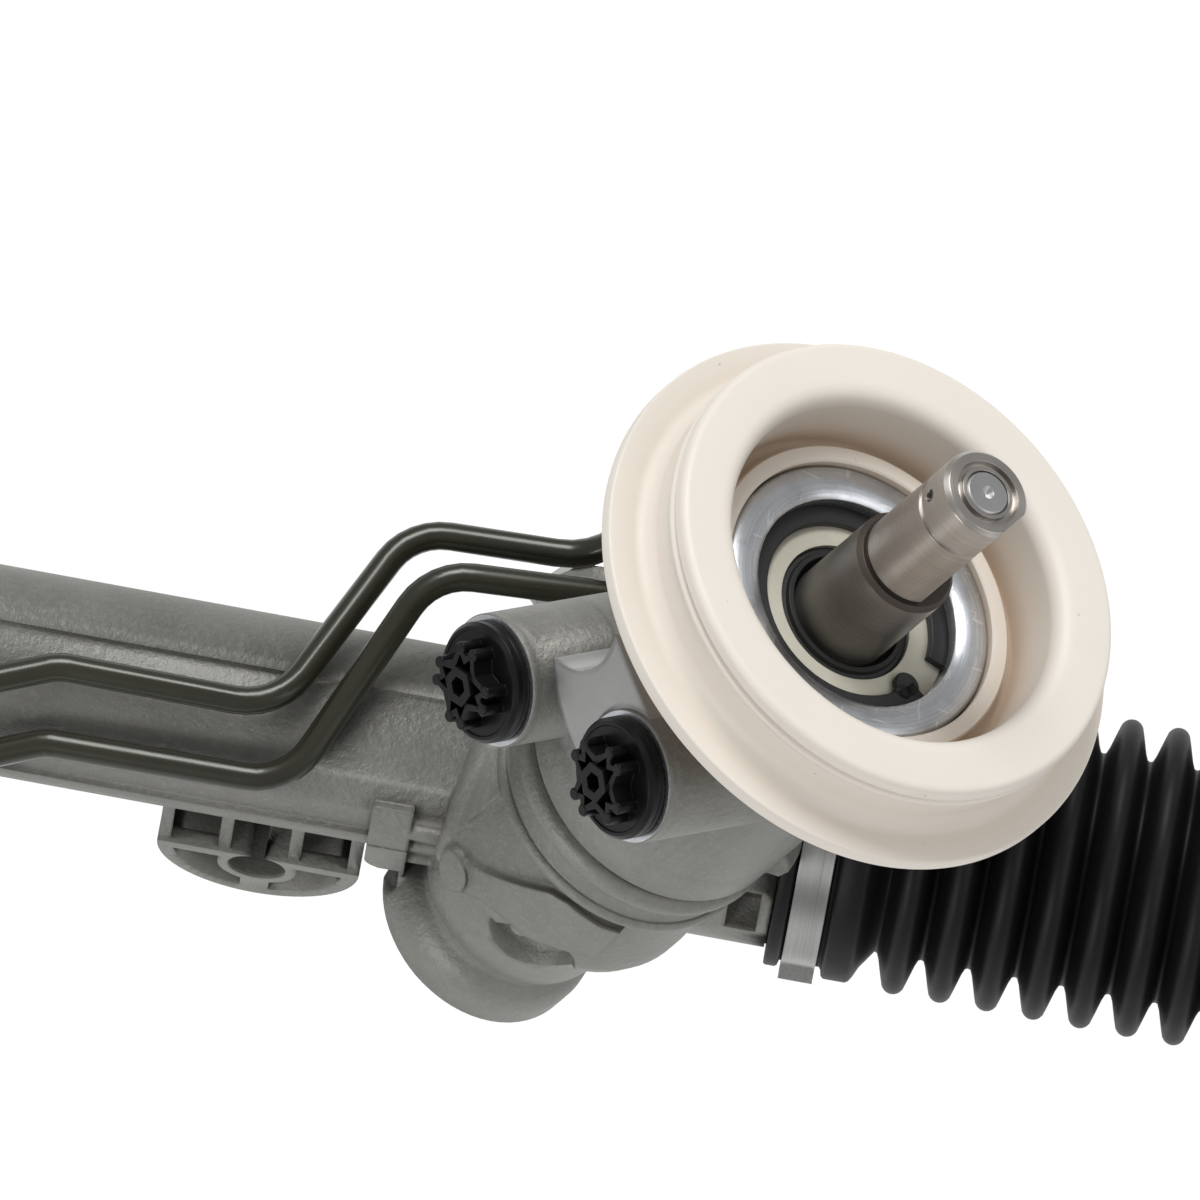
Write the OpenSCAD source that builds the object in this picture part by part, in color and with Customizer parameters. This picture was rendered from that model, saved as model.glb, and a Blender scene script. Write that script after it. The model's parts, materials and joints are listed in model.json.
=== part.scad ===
// Hydraulic rack-and-pinion steering gear with tie rods and bellows.
// X runs along the rack, +Y to the rear and +Z up. The origin is the middle of the
// mounting bore beside the pinion. Lengths are in millimetres, angles in degrees.

/* [Layout] */
// Tilt of the pinion from square to the rack
pinion_tilt = 25; // [10:1:30]
// Lean of the pinion towards the rear
pinion_lean = 14.3; // [0:0.1:25]
// Rack travel to each side
rack_travel = 70; // [60:1:74]
// Distance from the pinion to the housing end at the right
right_end_x = 56; // [54:1:60]
// Distance from the pinion to the housing end at the left
left_end_x = 372; // [366:1:400]
// Clearance of parts that are fitted into each other
fit_gap = 0.04; // [0.02:0.01:0.08]

/* [Mounting feet] */
// Distance from the pinion to the first foot
foot_x = 64.5; // [56:0.5:90]
// Distance from the left housing end to the far foot
far_foot_in = 38; // [37:1:46]
// Height of the bore below the rack axis
foot_drop = 27; // [26:0.5:32]
// Bore diameter
foot_bore_d = 12.3; // [8:0.1:13]
// Length of the bore from front to rear
foot_depth = 36; // [30:1:42]
// Distance from the rack axis to the front face
foot_front = 22.5; // [22:0.5:26]
// Radius of the half-round foot
foot_r = 21.4; // [19:0.2:24]

/* [Rack] */
// Rack bar diameter
rack_d = 26; // [24:1:28]
// Tooth module
tooth_module = 2; // [1.8:0.1:2.1]
// Number of pinion teeth
pinion_teeth = 8; // [8:1:9]
// Pressure angle of the teeth
pressure_angle = 25; // [24:1:27]
// Clearance on each tooth flank
flank_gap = 0.07; // [0.05:0.01:0.12]
// Length of the toothed stretch
toothed_l = 172; // [160:2:180]
// Flat across the tooth tips, below the bar's surface
tip_flat = 4; // [3:0.5:5]

/* [Cylinder] */
// Bore of the pressure tube
tube_bore_d = 37; // [34:1:38]
// Wall of the pressure tube
tube_wall = 2.6; // [2:0.1:3.5]
// Distance from the pinion to the inner seal
inner_seal_x = 166; // [162:1:170]
// Width of the piston
piston_w = 14; // [10:1:18]

/* [Gear housing] */
// Outside diameter of the cast rack tube
cast_tube_d = 42.6; // [40:0.2:46]
// Height of the valve tower above the pinion
tower_h = 115; // [112:1:118]
// Outside diameter of the tower
tower_d = 61; // [58:0.5:64]
// Diameter of the machined rim
rim_d = 62.2; // [58:0.2:63]
// Depth of the housing below the pinion centre
base_depth = 42; // [40:1:46]
// Radius of the port bosses
port_boss_r = 14; // [13:0.5:15]
// Distance from the pinion axis to the face of the port bosses
port_reach = 47; // [44:1:52]
// Sideways offset of the port bosses
port_offset = 18; // [17:0.5:19]

/* [Shaft] */
// Diameter of the input shaft
shaft_d = 23; // [20:0.5:24]
// Diameter of its end
shaft_end_d = 20; // [17:0.5:20]
// Length of the shaft above the rim
shaft_out = 51; // [46:1:60]
// Length of the thick part above the rim
shoulder_out = 19; // [14:1:24]

/* [Collar] */
// Diameter of the front disc
collar_d = 103; // [96:1:110]
// Diameter of the rear flange
collar_flange_d = 118.8; // [112:0.4:124]
// Height of the front face above the rim
collar_out = 16; // [12:1:20]

/* [Bellows] */
// Outside diameter over the folds
bellows_d = 65.4; // [60:0.2:70]
// Diameter in the valleys
valley_d = 49.2; // [47:0.2:52]
// Distance from fold to fold
fold_pitch = 9.9; // [9:0.1:11]
// Number of full folds
folds = 13; // [11:1:14]
// Wall of the bellows, measured across the axis
bellows_wall = 2.2; // [1.8:0.1:2.6]

/* [Tie rods] */
// Diameter of the rods
rod_d = 15; // [13:0.5:16]
// Diameter of the ball
ball_d = 24; // [22:0.5:25]
// Swing of the rods up and down, to each side
rod_swing = 20; // [15:1:20]
// Length from the ball's centre to the end
rod_l = 230; // [200:5:300]
// Length of the thread
rod_thread_l = 70; // [50:5:90]

/* [Lines] */
// Outside diameter of the steel lines
line_d = 6; // [5:0.5:6.5]
// Radius of their bends
line_bend_r = 14; // [12:1:16]

/* [Hidden] */
$fn = 96;
ALUMINIUM = [0.66, 0.66, 0.65];
STEEL = [0.55, 0.55, 0.56];
DARK_STEEL = [0.30, 0.30, 0.31];
CREAM = [0.91, 0.88, 0.82];
RUBBER = [0.07, 0.07, 0.07];
OLIVE = [0.20, 0.20, 0.15];
WASHER_GREY = [0.62, 0.60, 0.54];
POLYMER = [0.85, 0.83, 0.74];

// Gear geometry
pitch_r = tooth_module * pinion_teeth / 2;
rack_addendum = 0.7 * tooth_module;
pinion_addendum = 0.9 * tooth_module;
root_gap = 0.15 * tooth_module;
rack_r = rack_d / 2;
tip_y = -(rack_r - tip_flat);
pinion_y = tip_y + rack_addendum - pitch_r;
pinion_tip_r = pitch_r + pinion_addendum;
pinion_root_r = pitch_r - rack_addendum - root_gap;
base_circle_r = pitch_r * cos(pressure_angle);
rack_pitch = PI * tooth_module;
axial_pitch = rack_pitch / cos(pinion_tilt);
gear_face_l = 36;

// Places along the pinion axis, from the pinion's centre upwards
rim_z = tower_h;
washer_z = rim_z - 5.6;
washer_t = 2;
seal_z = washer_z - washer_t - 8.4;
bearing_z = seal_z - 11;
valve_top_z = bearing_z - 1.4;
valve_low_z = 38;
gear_half = gear_face_l / 2;
low_bearing_z = -gear_half - 11;
low_bearing_h = 9;

// Radii around the pinion axis
tower_r = tower_d / 2;
rim_r = rim_d / 2;
mouth_r = 23.7;
upper_bearing_r = 20;
valve_bore_r = 19;
gear_bore_r = pinion_tip_r + 2.2;
low_bearing_r = 14;
journal_r = 7.5;
shaft_r = shaft_d / 2;
end_r = shaft_end_d / 2;
collar_in_r = rim_r + 0.3;

// Places along the rack
cast_tube_r = cast_tube_d / 2;
rack_bore_r = rack_r + 1.5;
cast_end_x = 158;
tube_in_r = tube_bore_d / 2;
tube_out_r = tube_in_r + tube_wall;
tube_socket_l = 20;
seal_w = 12;
piston_x = inner_seal_x + seal_w + rack_travel + piston_w / 2 + 6;
bush_x = piston_x + piston_w / 2 + rack_travel + 6;
bush_w = 18;
stop_gap = 2;
right_ball_face = right_end_x + rack_travel + stop_gap;
left_ball_face = left_end_x + rack_travel + stop_gap;
ball_r = ball_d / 2;
seat_t = 1.4;
stud_l = 11;
stud_r = 8;
cavity_r = ball_r + seat_t;
ball_in = stud_l + 1.6 + cavity_r;
mouth_in = 0.75 * ball_r;
socket_l = ball_in + mouth_in;
socket_r = ball_r + 5.6;
right_ball_x = right_ball_face + ball_in;
left_ball_x = left_ball_face + ball_in;

// Bellows outline, measured from the housing end
neck_r = 27;
cuff_r = 29.8;
cuff_start = -13;
cuff_end = 5;
first_fold = 14.4;
taper_end = first_fold + folds * fold_pitch + 12;
small_cuff_l = 13;
rod_r = rod_d / 2;
clamp_w = 7.2;
clamp_t = 0.8;

// Foot bore, from the crossing of rack and pinion
foot_mid_y = -foot_front + foot_depth / 2;
foot_pos = [-foot_x, foot_mid_y, -foot_drop];

// Frames of reference
module on_rack() translate(-foot_pos) children();
module on_gear() on_rack() rotate([-pinion_lean, 0, 0]) children();
module on_pinion() on_gear() translate([0, pinion_y, 0]) rotate([0, pinion_tilt, 0]) children();
module along_x(x) translate([x, 0, 0]) rotate([0, 90, 0]) children();
module at_port(ang, z, side) rotate([0, 0, ang]) translate([0, side, z]) rotate([0, 90, 0]) children();

// A ring about the local Z axis
module ring(r_out, r_in, h) {
    difference() {
        cylinder(r = r_out, h = h);
        translate([0, 0, -1]) cylinder(r = r_in, h = h + 2);
    }
}

// Round tube swept along a path, its rings turned as little as possible
function unit(v) = v / norm(v);
function square_to(v, near) = unit(near - v * (near * v));
function heading(path, i) = unit(path[min(i + 1, len(path) - 1)] - path[max(i - 1, 0)]);
function side_dirs(path, i, last) = i == len(path) ? [] :
    let (now = square_to(heading(path, i), last)) concat([now], side_dirs(path, i + 1, now));
module swept_tube(path, r, sides) {
    start = abs(heading(path, 0)[2]) < 0.9 ? [0, 0, 1] : [0, 1, 0];
    across = side_dirs(path, 0, start);
    points = [for (i = [0:len(path) - 1]) let (u = across[i], v = cross(heading(path, i), u))
        for (j = [0:sides - 1]) path[i] + r * (u * cos(j * 360 / sides) + v * sin(j * 360 / sides))];
    walls = [for (i = [0:len(path) - 2]) for (j = [0:sides - 1]) let (n = (j + 1) % sides)
        [i * sides + j, (i + 1) * sides + j, (i + 1) * sides + n, i * sides + n]];
    last = (len(path) - 1) * sides;
    ends = [[for (j = [0:sides - 1]) j], [for (j = [sides - 1:-1:0]) last + j]];
    polyhedron(points = points, faces = concat(walls, ends), convexity = 10);
}

// Pinion point to a point measured from the crossing
function lean(p) = [p[0], p[1] * cos(pinion_lean) + p[2] * sin(pinion_lean),
    -p[1] * sin(pinion_lean) + p[2] * cos(pinion_lean)];
function from_pinion(r, ang, z) = lean([r * cos(ang) * cos(pinion_tilt) + z * sin(pinion_tilt),
    pinion_y + r * sin(ang), -r * cos(ang) * sin(pinion_tilt) + z * cos(pinion_tilt)]);
// Point around the rack, with the angle counted from the top towards the front
function around_rack(x, ang, r) = [x, -r * sin(ang), r * cos(ang)];

// Involute pinion outline
function involute(r) = let (a = acos(min(1, base_circle_r / r))) tan(a) * 180 / PI - a;
half_tooth = 90 / pinion_teeth - flank_gap / pitch_r * 180 / PI;
function flank_angle(r) = half_tooth + involute(pitch_r) - involute(max(r, base_circle_r));
flank_steps = 5;
function flank(side) = [for (i = [0:flank_steps])
    let (k = side > 0 ? flank_steps - i : i,
        r = max(pinion_root_r, base_circle_r) + k * (pinion_tip_r - max(pinion_root_r, base_circle_r))
            / flank_steps)
    [r, side * flank_angle(r)]];
module pinion_outline() {
    points = [for (i = [0:pinion_teeth - 1]) let (turn = i * 360 / pinion_teeth + 90)
        each concat([[pinion_root_r, turn - half_tooth - involute(pitch_r)]],
            [for (p = flank(-1)) [p[0], turn + p[1]]], [for (p = flank(1)) [p[0], turn + p[1]]],
            [[pinion_root_r, turn + half_tooth + involute(pitch_r)]])];
    polygon([for (p = points) [p[0] * cos(p[1]), p[0] * sin(p[1])]]);
}

// Tower and base of the gear housing as one turned outline
module tower_outline() {
    polygon([[0, rim_z], [rim_r - 0.8, rim_z], [rim_r, rim_z - 0.8], [rim_r, rim_z - 20],
        [tower_r, rim_z - 22], [tower_r, valve_low_z + 6], [tower_r + 0.6, valve_low_z + 3.5],
        [tower_r + 2.6, valve_low_z + 2.2], [tower_r + 3.4, valve_low_z + 0.6],
        [tower_r + 2.8, valve_low_z - 2.6], [tower_r + 0.8, valve_low_z - 4],
        [tower_r - 0.6, valve_low_z - 7], [tower_r - 0.6, 0], [tower_r - 1.6, -3.2],
        [tower_r - 4.4, -6], [tower_r - 6.6, -12], [tower_r - 8.4, -24],
        [tower_r - 8.8, -28], [tower_r - 7.4, -30], [tower_r - 6.8, -33],
        [tower_r - 6.8, 3 - base_depth], [tower_r - 9.4, -base_depth], [0, -base_depth]]);
}

module tower_bores() {
    translate([0, 0, seal_z]) cylinder(r = mouth_r, h = tower_h);
    translate([0, 0, rim_z - 1]) cylinder(r1 = mouth_r, r2 = mouth_r + 1.2, h = 1.2);
    translate([0, 0, washer_z]) cylinder(r = mouth_r + 1.4, h = 1.9);
    translate([0, 0, valve_top_z]) cylinder(r = upper_bearing_r, h = seal_z);
    translate([0, 0, valve_low_z]) cylinder(r = valve_bore_r, h = valve_top_z);
    translate([0, 0, -gear_half - 3]) cylinder(r = gear_bore_r, h = valve_low_z + gear_half + 4);
    translate([0, 0, -base_depth - 1]) cylinder(r = low_bearing_r, h = base_depth - gear_half - 1);
}

// The two plugged ports at the front and the two line ports at the rear
front_ports = [[55.3, -port_offset], [84.2, port_offset]];
front_port_ang = 214.9;
line_ports = [[76, 120], [63.5, 70]];
line_port_reach = 41;
line_boss_r = 11;
port_hole_r = 7.5;
line_hole_r = 6;
port_seat = 26;
passage_r = 2.5;

module port_bosses() {
    for (p = front_ports)
        at_port(front_port_ang, p[0], p[1]) cylinder(r = port_boss_r, h = port_reach);
    for (p = line_ports)
        at_port(p[1], p[0], 0) cylinder(r = line_boss_r, h = line_port_reach);
    // Machined web between the front bosses
    rotate([0, 0, front_port_ang]) translate([8, 0, 0]) hull()
        for (p = front_ports)
            translate([0, p[1] * 0.55, p[0]]) rotate([0, 90, 0]) cylinder(r = 7, h = 33, $fn = 32);
}

module port_holes() {
    for (p = front_ports) {
        at_port(front_port_ang, p[0], p[1])
            translate([0, 0, port_seat]) cylinder(r = port_hole_r, h = port_reach);
        // Passage from the seat to the valve bore
        at_port(front_port_ang + atan2(p[1], port_seat + 3), p[0], 0)
            cylinder(r = passage_r, h = norm([p[1], port_seat + 3]));
    }
    for (p = line_ports) {
        at_port(p[1], p[0], 0) translate([0, 0, port_seat]) cylinder(r = line_hole_r, h = port_reach);
        at_port(p[1], p[0], 0) cylinder(r = passage_r, h = port_seat + 1);
    }
    // Round scallop cut by the spot-facing tool between the bosses
    rotate([0, 0, front_port_ang]) translate([port_reach - 12, 1, 70]) rotate([0, 90, 0])
        cylinder(r = 9.5, h = 20);
}

// Yoke boss behind the rack
yoke_r = 14;
yoke_face = 6;
yoke_end = 31;
yoke_boss_r = 18;
yoke_boss_end = 50;
adjuster_r = 15;
adjuster_in = 39;

// Foot with cored pockets; local origin on the bore axis at the rack's height
foot_rim = 3.2;
hub_r = 8.3;
foot_top = 21;
module foot_outline(grow) {
    intersection() {
        translate([0, -foot_top]) circle(r = foot_r + grow);
        translate([-foot_r - 1, -foot_top - foot_r - 1])
            square([2 * foot_r + 2, foot_r + 1 + grow]);
    }
}
module foot_solid() {
    translate([0, foot_depth - foot_front, 0]) rotate([90, 0, 0])
        linear_extrude(height = foot_depth) foot_outline(0);
    // Neck up to the tube
    translate([-foot_r + 1, -8, -foot_top - 1]) cube([2 * foot_r - 2, foot_depth - foot_front + 6, foot_top]);
    // Gusset ribs
    for (x = [-foot_r + 1.4, -7.4, 7.4, foot_r - 1.4])
        translate([x + 1.3, 0, 0]) rotate([90, 0, -90]) linear_extrude(height = 2.6)
            polygon([[foot_front - 0.6, -foot_top - 1], [8, -foot_top - 1], [8, -4], [18, -4]]);
}
module foot_cuts() {
    translate([0, -foot_front - 1, -foot_drop]) rotate([-90, 0, 0])
        cylinder(d = foot_bore_d, h = foot_depth + 2);
    // Pockets open to the top, behind the front wall and clear of the hub and the tube
    difference() {
        for (x = [-14.2, 0, 14.2])
            translate([x - 5.4, -foot_front + 3.6, x == 0 ? hub_r - foot_drop : -foot_top - 6])
                cube([10.8, foot_front - 6, x == 0 ? 12 : 16]);
        along_x(-foot_r - 1) cylinder(r = cast_tube_r - 0.4, h = 2 * foot_r + 2);
    }
    // Windows in the front face on both sides of the hub
    for (side = [-1, 1])
        translate([0, -foot_front + 12, 0]) rotate([90, 0, 0]) linear_extrude(height = 13)
            difference() {
                intersection() {
                    foot_outline(-foot_rim);
                    translate([side > 0 ? 3 : -foot_r, -foot_top - foot_r]) square([foot_r - 3, foot_r - 2.4]);
                }
                translate([0, -foot_drop]) circle(r = hub_r);
            }
}

module gear_housing() {
    color(ALUMINIUM) difference() {
        union() {
            on_pinion() rotate_extrude() tower_outline();
            on_pinion() port_bosses();
            on_rack() along_x(-cast_end_x) cylinder(r = cast_tube_r, h = cast_end_x + 20);
            on_rack() along_x(-6) cylinder(r = cast_tube_r + 4.2, h = 34);
            on_rack() along_x(24) cylinder(r = neck_r + 0.8, h = right_end_x - 24);
            on_rack() along_x(-cast_end_x) cylinder(r = tube_out_r + 4, h = 24);
            on_rack() along_x(24 - cast_end_x) cylinder(r1 = tube_out_r + 4, r2 = cast_tube_r, h = 5);
            on_gear() rotate([-90, 0, 0]) cylinder(r = yoke_boss_r, h = yoke_boss_end);
            on_rack() translate([-foot_x, 0, 0]) foot_solid();
            // Raised band along the top of the tube and the parting ridges
            on_rack() for (a = [[-78, 69, 1], [80.4, 3, 1.2], [-97, 3, 1.2]])
                along_x(-cast_end_x + 12) rotate([0, 0, 180 + a[0]])
                    rotate_extrude(angle = a[1]) translate([cast_tube_r - 2, 0]) square([2 + a[2], cast_end_x - 30]);
            // Small lug between the foot and the base
            on_rack() translate([-42, -24, -17]) cube([8, 20, 12]);
        }
        on_pinion() tower_bores();
        on_pinion() port_holes();
        on_rack() along_x(-cast_end_x - 1) cylinder(r = rack_bore_r, h = cast_end_x + right_end_x + 2);
        on_rack() along_x(-cast_end_x - 1) cylinder(r = tube_out_r, h = tube_socket_l + 1);
        on_gear() rotate([-90, 0, 0]) cylinder(r = yoke_r + fit_gap, h = yoke_boss_end + 1);
        on_gear() translate([0, adjuster_in - 1, 0]) rotate([-90, 0, 0]) cylinder(r = adjuster_r, h = 20);
        on_rack() translate([-foot_x, 0, 0]) foot_cuts();
        // Turned seat of the bellows cuff and its clamp, with a groove for the bead
        on_rack() along_x(right_end_x + cuff_start - 0.4)
            ring(cuff_r + clamp_t + 1, neck_r, right_end_x);
        on_rack() along_x(right_end_x + cuff_start + 2) ring(neck_r + 3, neck_r - 1.5, 4);
    }
}

module bottom_cap() {
    color(DARK_STEEL) on_pinion() translate([0, 0, -base_depth]) difference() {
        cylinder(r = low_bearing_r - fit_gap, h = base_depth + low_bearing_z - fit_gap);
        translate([0, 0, 6.5]) cylinder(r = low_bearing_r - 1.9, h = base_depth);
        translate([0, 0, -1]) cylinder(r = 6.5, h = 5, $fn = 6);
    }
}

// Plastic transport plug with a zigzag finger grip
plug_r = 12.7;
plug_t = 5.2;
module port_plug() {
    translate([0, 0, 0.05]) {
        cylinder(r = plug_r, h = plug_t - 0.8);
        cylinder(r = plug_r - 0.8, h = plug_t);
    }
    translate([0, 0, -9]) cylinder(r = port_hole_r - fit_gap, h = 10);
    translate([0, 0, plug_t - 0.5]) linear_extrude(height = 4) {
        for (a = [20, 140, 260]) rotate(a) {
            translate([4, 0]) square([8.6, 1.8], center = true);
            translate([8, 2.4]) rotate(62) square([6.6, 1.8], center = true);
            translate([9.6, 5.4]) circle(r = 1.5);
        }
        square([6.4, 6.4], center = true);
    }
}
module port_plugs() {
    color(RUBBER) on_pinion() for (p = front_ports)
        at_port(front_port_ang, p[0], p[1]) translate([0, 0, port_reach]) port_plug();
}

// Bulkhead seal around the rim: front disc, groove and thin rear flange
module seal_collar() {
    disc_r = collar_d / 2;
    flange_r = collar_flange_d / 2;
    color(CREAM) on_pinion() translate([0, 0, rim_z]) rotate_extrude($fn = 128)
        polygon([[collar_in_r, -16], [collar_in_r, 1.2], [collar_in_r + 3.7, 1.2],
            [collar_in_r + 3.9, -3], [collar_in_r + 5.4, -4.2], [collar_in_r + 6.6, -1],
            [collar_in_r + 7, collar_out - 6], [collar_in_r + 7.7, collar_out - 2.6],
            [collar_in_r + 8.8, collar_out - 0.7], [collar_in_r + 10.4, collar_out],
            [disc_r - 1.2, collar_out], [disc_r - 0.3, collar_out - 0.4], [disc_r, collar_out - 1.3],
            [disc_r, collar_out - 3.6], [disc_r - 0.7, collar_out - 4.2],
            [disc_r - 1.6, collar_out - 8.6], [disc_r - 0.2, collar_out - 12.2],
            [disc_r + 3, collar_out - 14.6], [flange_r - 1, -0.6], [flange_r - 0.1, -1.4],
            [flange_r, -2.4], [flange_r - 0.4, -4], [flange_r - 1.6, -4.6],
            [disc_r + 0.5, -4.6], [disc_r - 4, -1], [disc_r - 5.4, collar_out - 8],
            [disc_r - 7.6, collar_out - 4], [disc_r - 9, collar_out - 4],
            [disc_r - 10.4, collar_out - 8], [disc_r - 11, -5], [collar_in_r + 6.4, -9],
            [collar_in_r + 3.6, -10.4], [collar_in_r + 3.4, -16]]);
}

// Snap ring with two ears
circlip_in = 19.6;
ear_ang = -31.4;
module circlip() {
    color(DARK_STEEL) on_pinion() translate([0, 0, washer_z + 0.06]) difference() {
        union() {
            ring(mouth_r + 1.2, circlip_in, 1.7);
            for (a = [ear_ang, ear_ang - 16])
                rotate(a) translate([circlip_in + 0.6, 0, 0]) cylinder(r = 2.5, h = 1.7);
        }
        rotate(ear_ang - 8) translate([circlip_in - 4, -0.7, -1]) cube([12, 1.4, 4]);
        for (a = [ear_ang, ear_ang - 16])
            rotate(a) translate([circlip_in + 0.5, 0, -1]) cylinder(r = 1, h = 4);
    }
}

washer_in = 15.3;
module seal_washer() {
    color(WASHER_GREY) on_pinion() translate([0, 0, washer_z - washer_t])
        ring(mouth_r - fit_gap, washer_in, washer_t);
}

module shaft_seal() {
    color(RUBBER) on_pinion() rotate_extrude() polygon([
        [shaft_r + 0.05, seal_z + 5], [shaft_r + 0.05, washer_z - washer_t],
        [shaft_r + 0.9, washer_z - 1], [shaft_r + 1.2, washer_z + 0.5], [shaft_r + 2.2, washer_z + 0.5],
        [shaft_r + 2.6, washer_z - 0.6], [washer_in - 0.2, washer_z - 0.8],
        [washer_in - 0.2, washer_z - washer_t - 0.1], [mouth_r - fit_gap, washer_z - washer_t - 0.1],
        [mouth_r - fit_gap, seal_z + 0.1], [mouth_r - 2.4, seal_z + 0.1],
        [mouth_r - 2.6, seal_z + 5.6], [shaft_r + 4.4, seal_z + 5.6], [shaft_r + 3, seal_z + 2],
        [shaft_r + 1, seal_z + 2]]);
}

cup_in = upper_bearing_r - 2.35;
rollers = 14;
module upper_bearing() {
    roller_r = (cup_in - shaft_r) / 2 - 0.04;
    color(STEEL) on_pinion() translate([0, 0, bearing_z]) {
        ring(upper_bearing_r - fit_gap, cup_in, 10);
        for (i = [0:rollers - 1])
            rotate(i * 360 / rollers) translate([(cup_in + shaft_r) / 2, 0, 0.8])
                cylinder(r = roller_r, h = 8.4, $fn = 24);
    }
}

ball_pitch_r = (low_bearing_r + journal_r) / 2;
small_ball_r = 2.3;
race_half = 0.65;
module ball_track() {
    translate([0, 0, low_bearing_h / 2]) rotate_extrude() translate([ball_pitch_r, 0])
        circle(r = small_ball_r + 0.06, $fn = 32);
}
module lower_bearing_race() {
    color(STEEL) on_pinion() translate([0, 0, low_bearing_z]) difference() {
        ring(low_bearing_r - fit_gap, ball_pitch_r + race_half, low_bearing_h);
        ball_track();
    }
}
module bearing_balls() {
    color(STEEL) on_pinion() translate([0, 0, low_bearing_z + low_bearing_h / 2])
        for (i = [0:8]) rotate(i * 40) translate([ball_pitch_r, 0, 0]) sphere(r = small_ball_r, $fn = 24);
}
module pinion_inner_race() {
    color(STEEL) on_pinion() translate([0, 0, low_bearing_z]) difference() {
        ring(ball_pitch_r - race_half, journal_r + fit_gap, low_bearing_h);
        ball_track();
    }
}

// Yoke group, along the line from the pinion through the rack
module yoke() {
    color(ALUMINIUM) on_gear() difference() {
        rotate([-90, 0, 0]) translate([0, 0, yoke_face]) difference() {
            cylinder(r = yoke_r, h = yoke_end - yoke_face);
            translate([0, 0, yoke_end - yoke_face - 10]) cylinder(r = 10.5, h = 11);
            translate([0, 0, yoke_end - yoke_face - 7]) ring(yoke_r + 1, yoke_r - 1.4, 2.6);
        }
        along_x(-yoke_r - 1) cylinder(r = rack_r + 1, h = 2 * yoke_r + 2);
    }
}
module yoke_liner() {
    color(POLYMER) on_gear() intersection() {
        along_x(-yoke_r) ring(rack_r + 1 - fit_gap, rack_r + 0.04, 2 * yoke_r);
        rotate([-90, 0, 0]) translate([0, 0, yoke_face + 0.3]) cylinder(r = yoke_r - 0.6, h = yoke_end);
    }
}
coil_turns = 5;
coil_steps = 14;
coil_r = 8;
wire_r = 1.2;
wire_sides = 6;
module yoke_spring() {
    seat_y = yoke_end - 10 + wire_r + 0.1;
    rise = adjuster_in - wire_r - 0.1 - seat_y;
    rings = coil_turns * coil_steps;
    path = [for (i = [0:rings]) let (a = i * 360 / coil_steps)
        [coil_r * cos(a), coil_r * sin(a), rise * i / rings]];
    color(DARK_STEEL) on_gear() rotate([-90, 0, 0]) translate([0, 0, seat_y])
        swept_tube(path, wire_r, wire_sides);
}
module yoke_adjuster() {
    color(DARK_STEEL) on_gear() rotate([-90, 0, 0]) translate([0, 0, adjuster_in]) difference() {
        cylinder(r = adjuster_r - fit_gap, h = yoke_boss_end + 6.5 - adjuster_in);
        translate([0, 0, yoke_boss_end - adjuster_in - 1]) cylinder(r = 8, h = 9, $fn = 6);
    }
}
module yoke_locknut() {
    color(STEEL) on_gear() rotate([-90, 0, 0]) translate([0, 0, yoke_boss_end + 0.05]) difference() {
        cylinder(r = adjuster_r + 5.4, h = 5, $fn = 6);
        translate([0, 0, -1]) cylinder(r = adjuster_r, h = 7);
    }
}

// Pressure tube with two line bosses; places as [distance, angle from the top]
tube_ports = [[bush_x - 8, 29], [inner_seal_x + seal_w + 9, 66]];
tube_port_r = 8.5;
tube_port_reach = 28;
module at_tube_port(p) on_rack() translate([-p[0], 0, 0]) rotate([p[1], 0, 0]) children();
module cylinder_tube() {
    tube_start = cast_end_x - tube_socket_l + fit_gap;
    tube_end = bush_x + 2;
    color(DARK_STEEL) difference() {
        union() {
            on_rack() along_x(-tube_end) cylinder(r = tube_out_r - fit_gap, h = tube_end - tube_start);
            for (p = tube_ports) at_tube_port(p) cylinder(r = tube_port_r, h = tube_port_reach);
        }
        on_rack() along_x(-tube_end - 1) cylinder(r = tube_in_r, h = tube_end - tube_start + 2);
        for (p = tube_ports) at_tube_port(p) {
            cylinder(r = passage_r, h = tube_port_reach + 1);
            translate([0, 0, tube_out_r + 0.5]) cylinder(r = line_hole_r, h = tube_port_reach);
        }
    }
}

end_socket_r = tube_out_r + 4.2;
module end_housing() {
    shell_l = 59;
    color(ALUMINIUM) difference() {
        union() {
            on_rack() along_x(-left_end_x) cylinder(r = neck_r, h = -cuff_start + 8);
            on_rack() along_x(-left_end_x + 14) cylinder(r = end_socket_r, h = shell_l - 14);
            on_rack() translate([far_foot_in - left_end_x, 0, 0]) foot_solid();
        }
        on_rack() along_x(-left_end_x - 1) cylinder(r = rack_bore_r, h = shell_l);
        on_rack() along_x(-bush_x - bush_w) cylinder(r = tube_in_r, h = shell_l + 20);
        on_rack() along_x(-bush_x - 2.5) cylinder(r = tube_out_r, h = shell_l + 20);
        on_rack() translate([far_foot_in - left_end_x, 0, 0]) foot_cuts();
        on_rack() translate([far_foot_in - left_end_x, 0, 0]) at_boss_clearance();
        on_rack() along_x(-left_end_x - cuff_start - 6) ring(neck_r + 3, neck_r - 1.5, 4);
    }
}
// Room for the line boss of the tube where it passes the end housing
module at_boss_clearance() {
    translate([left_end_x - far_foot_in - tube_ports[0][0], 0, 0]) rotate([tube_ports[0][1], 0, 0])
        translate([0, 0, tube_in_r]) cylinder(r = tube_port_r + 1.5, h = 20);
}

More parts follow.
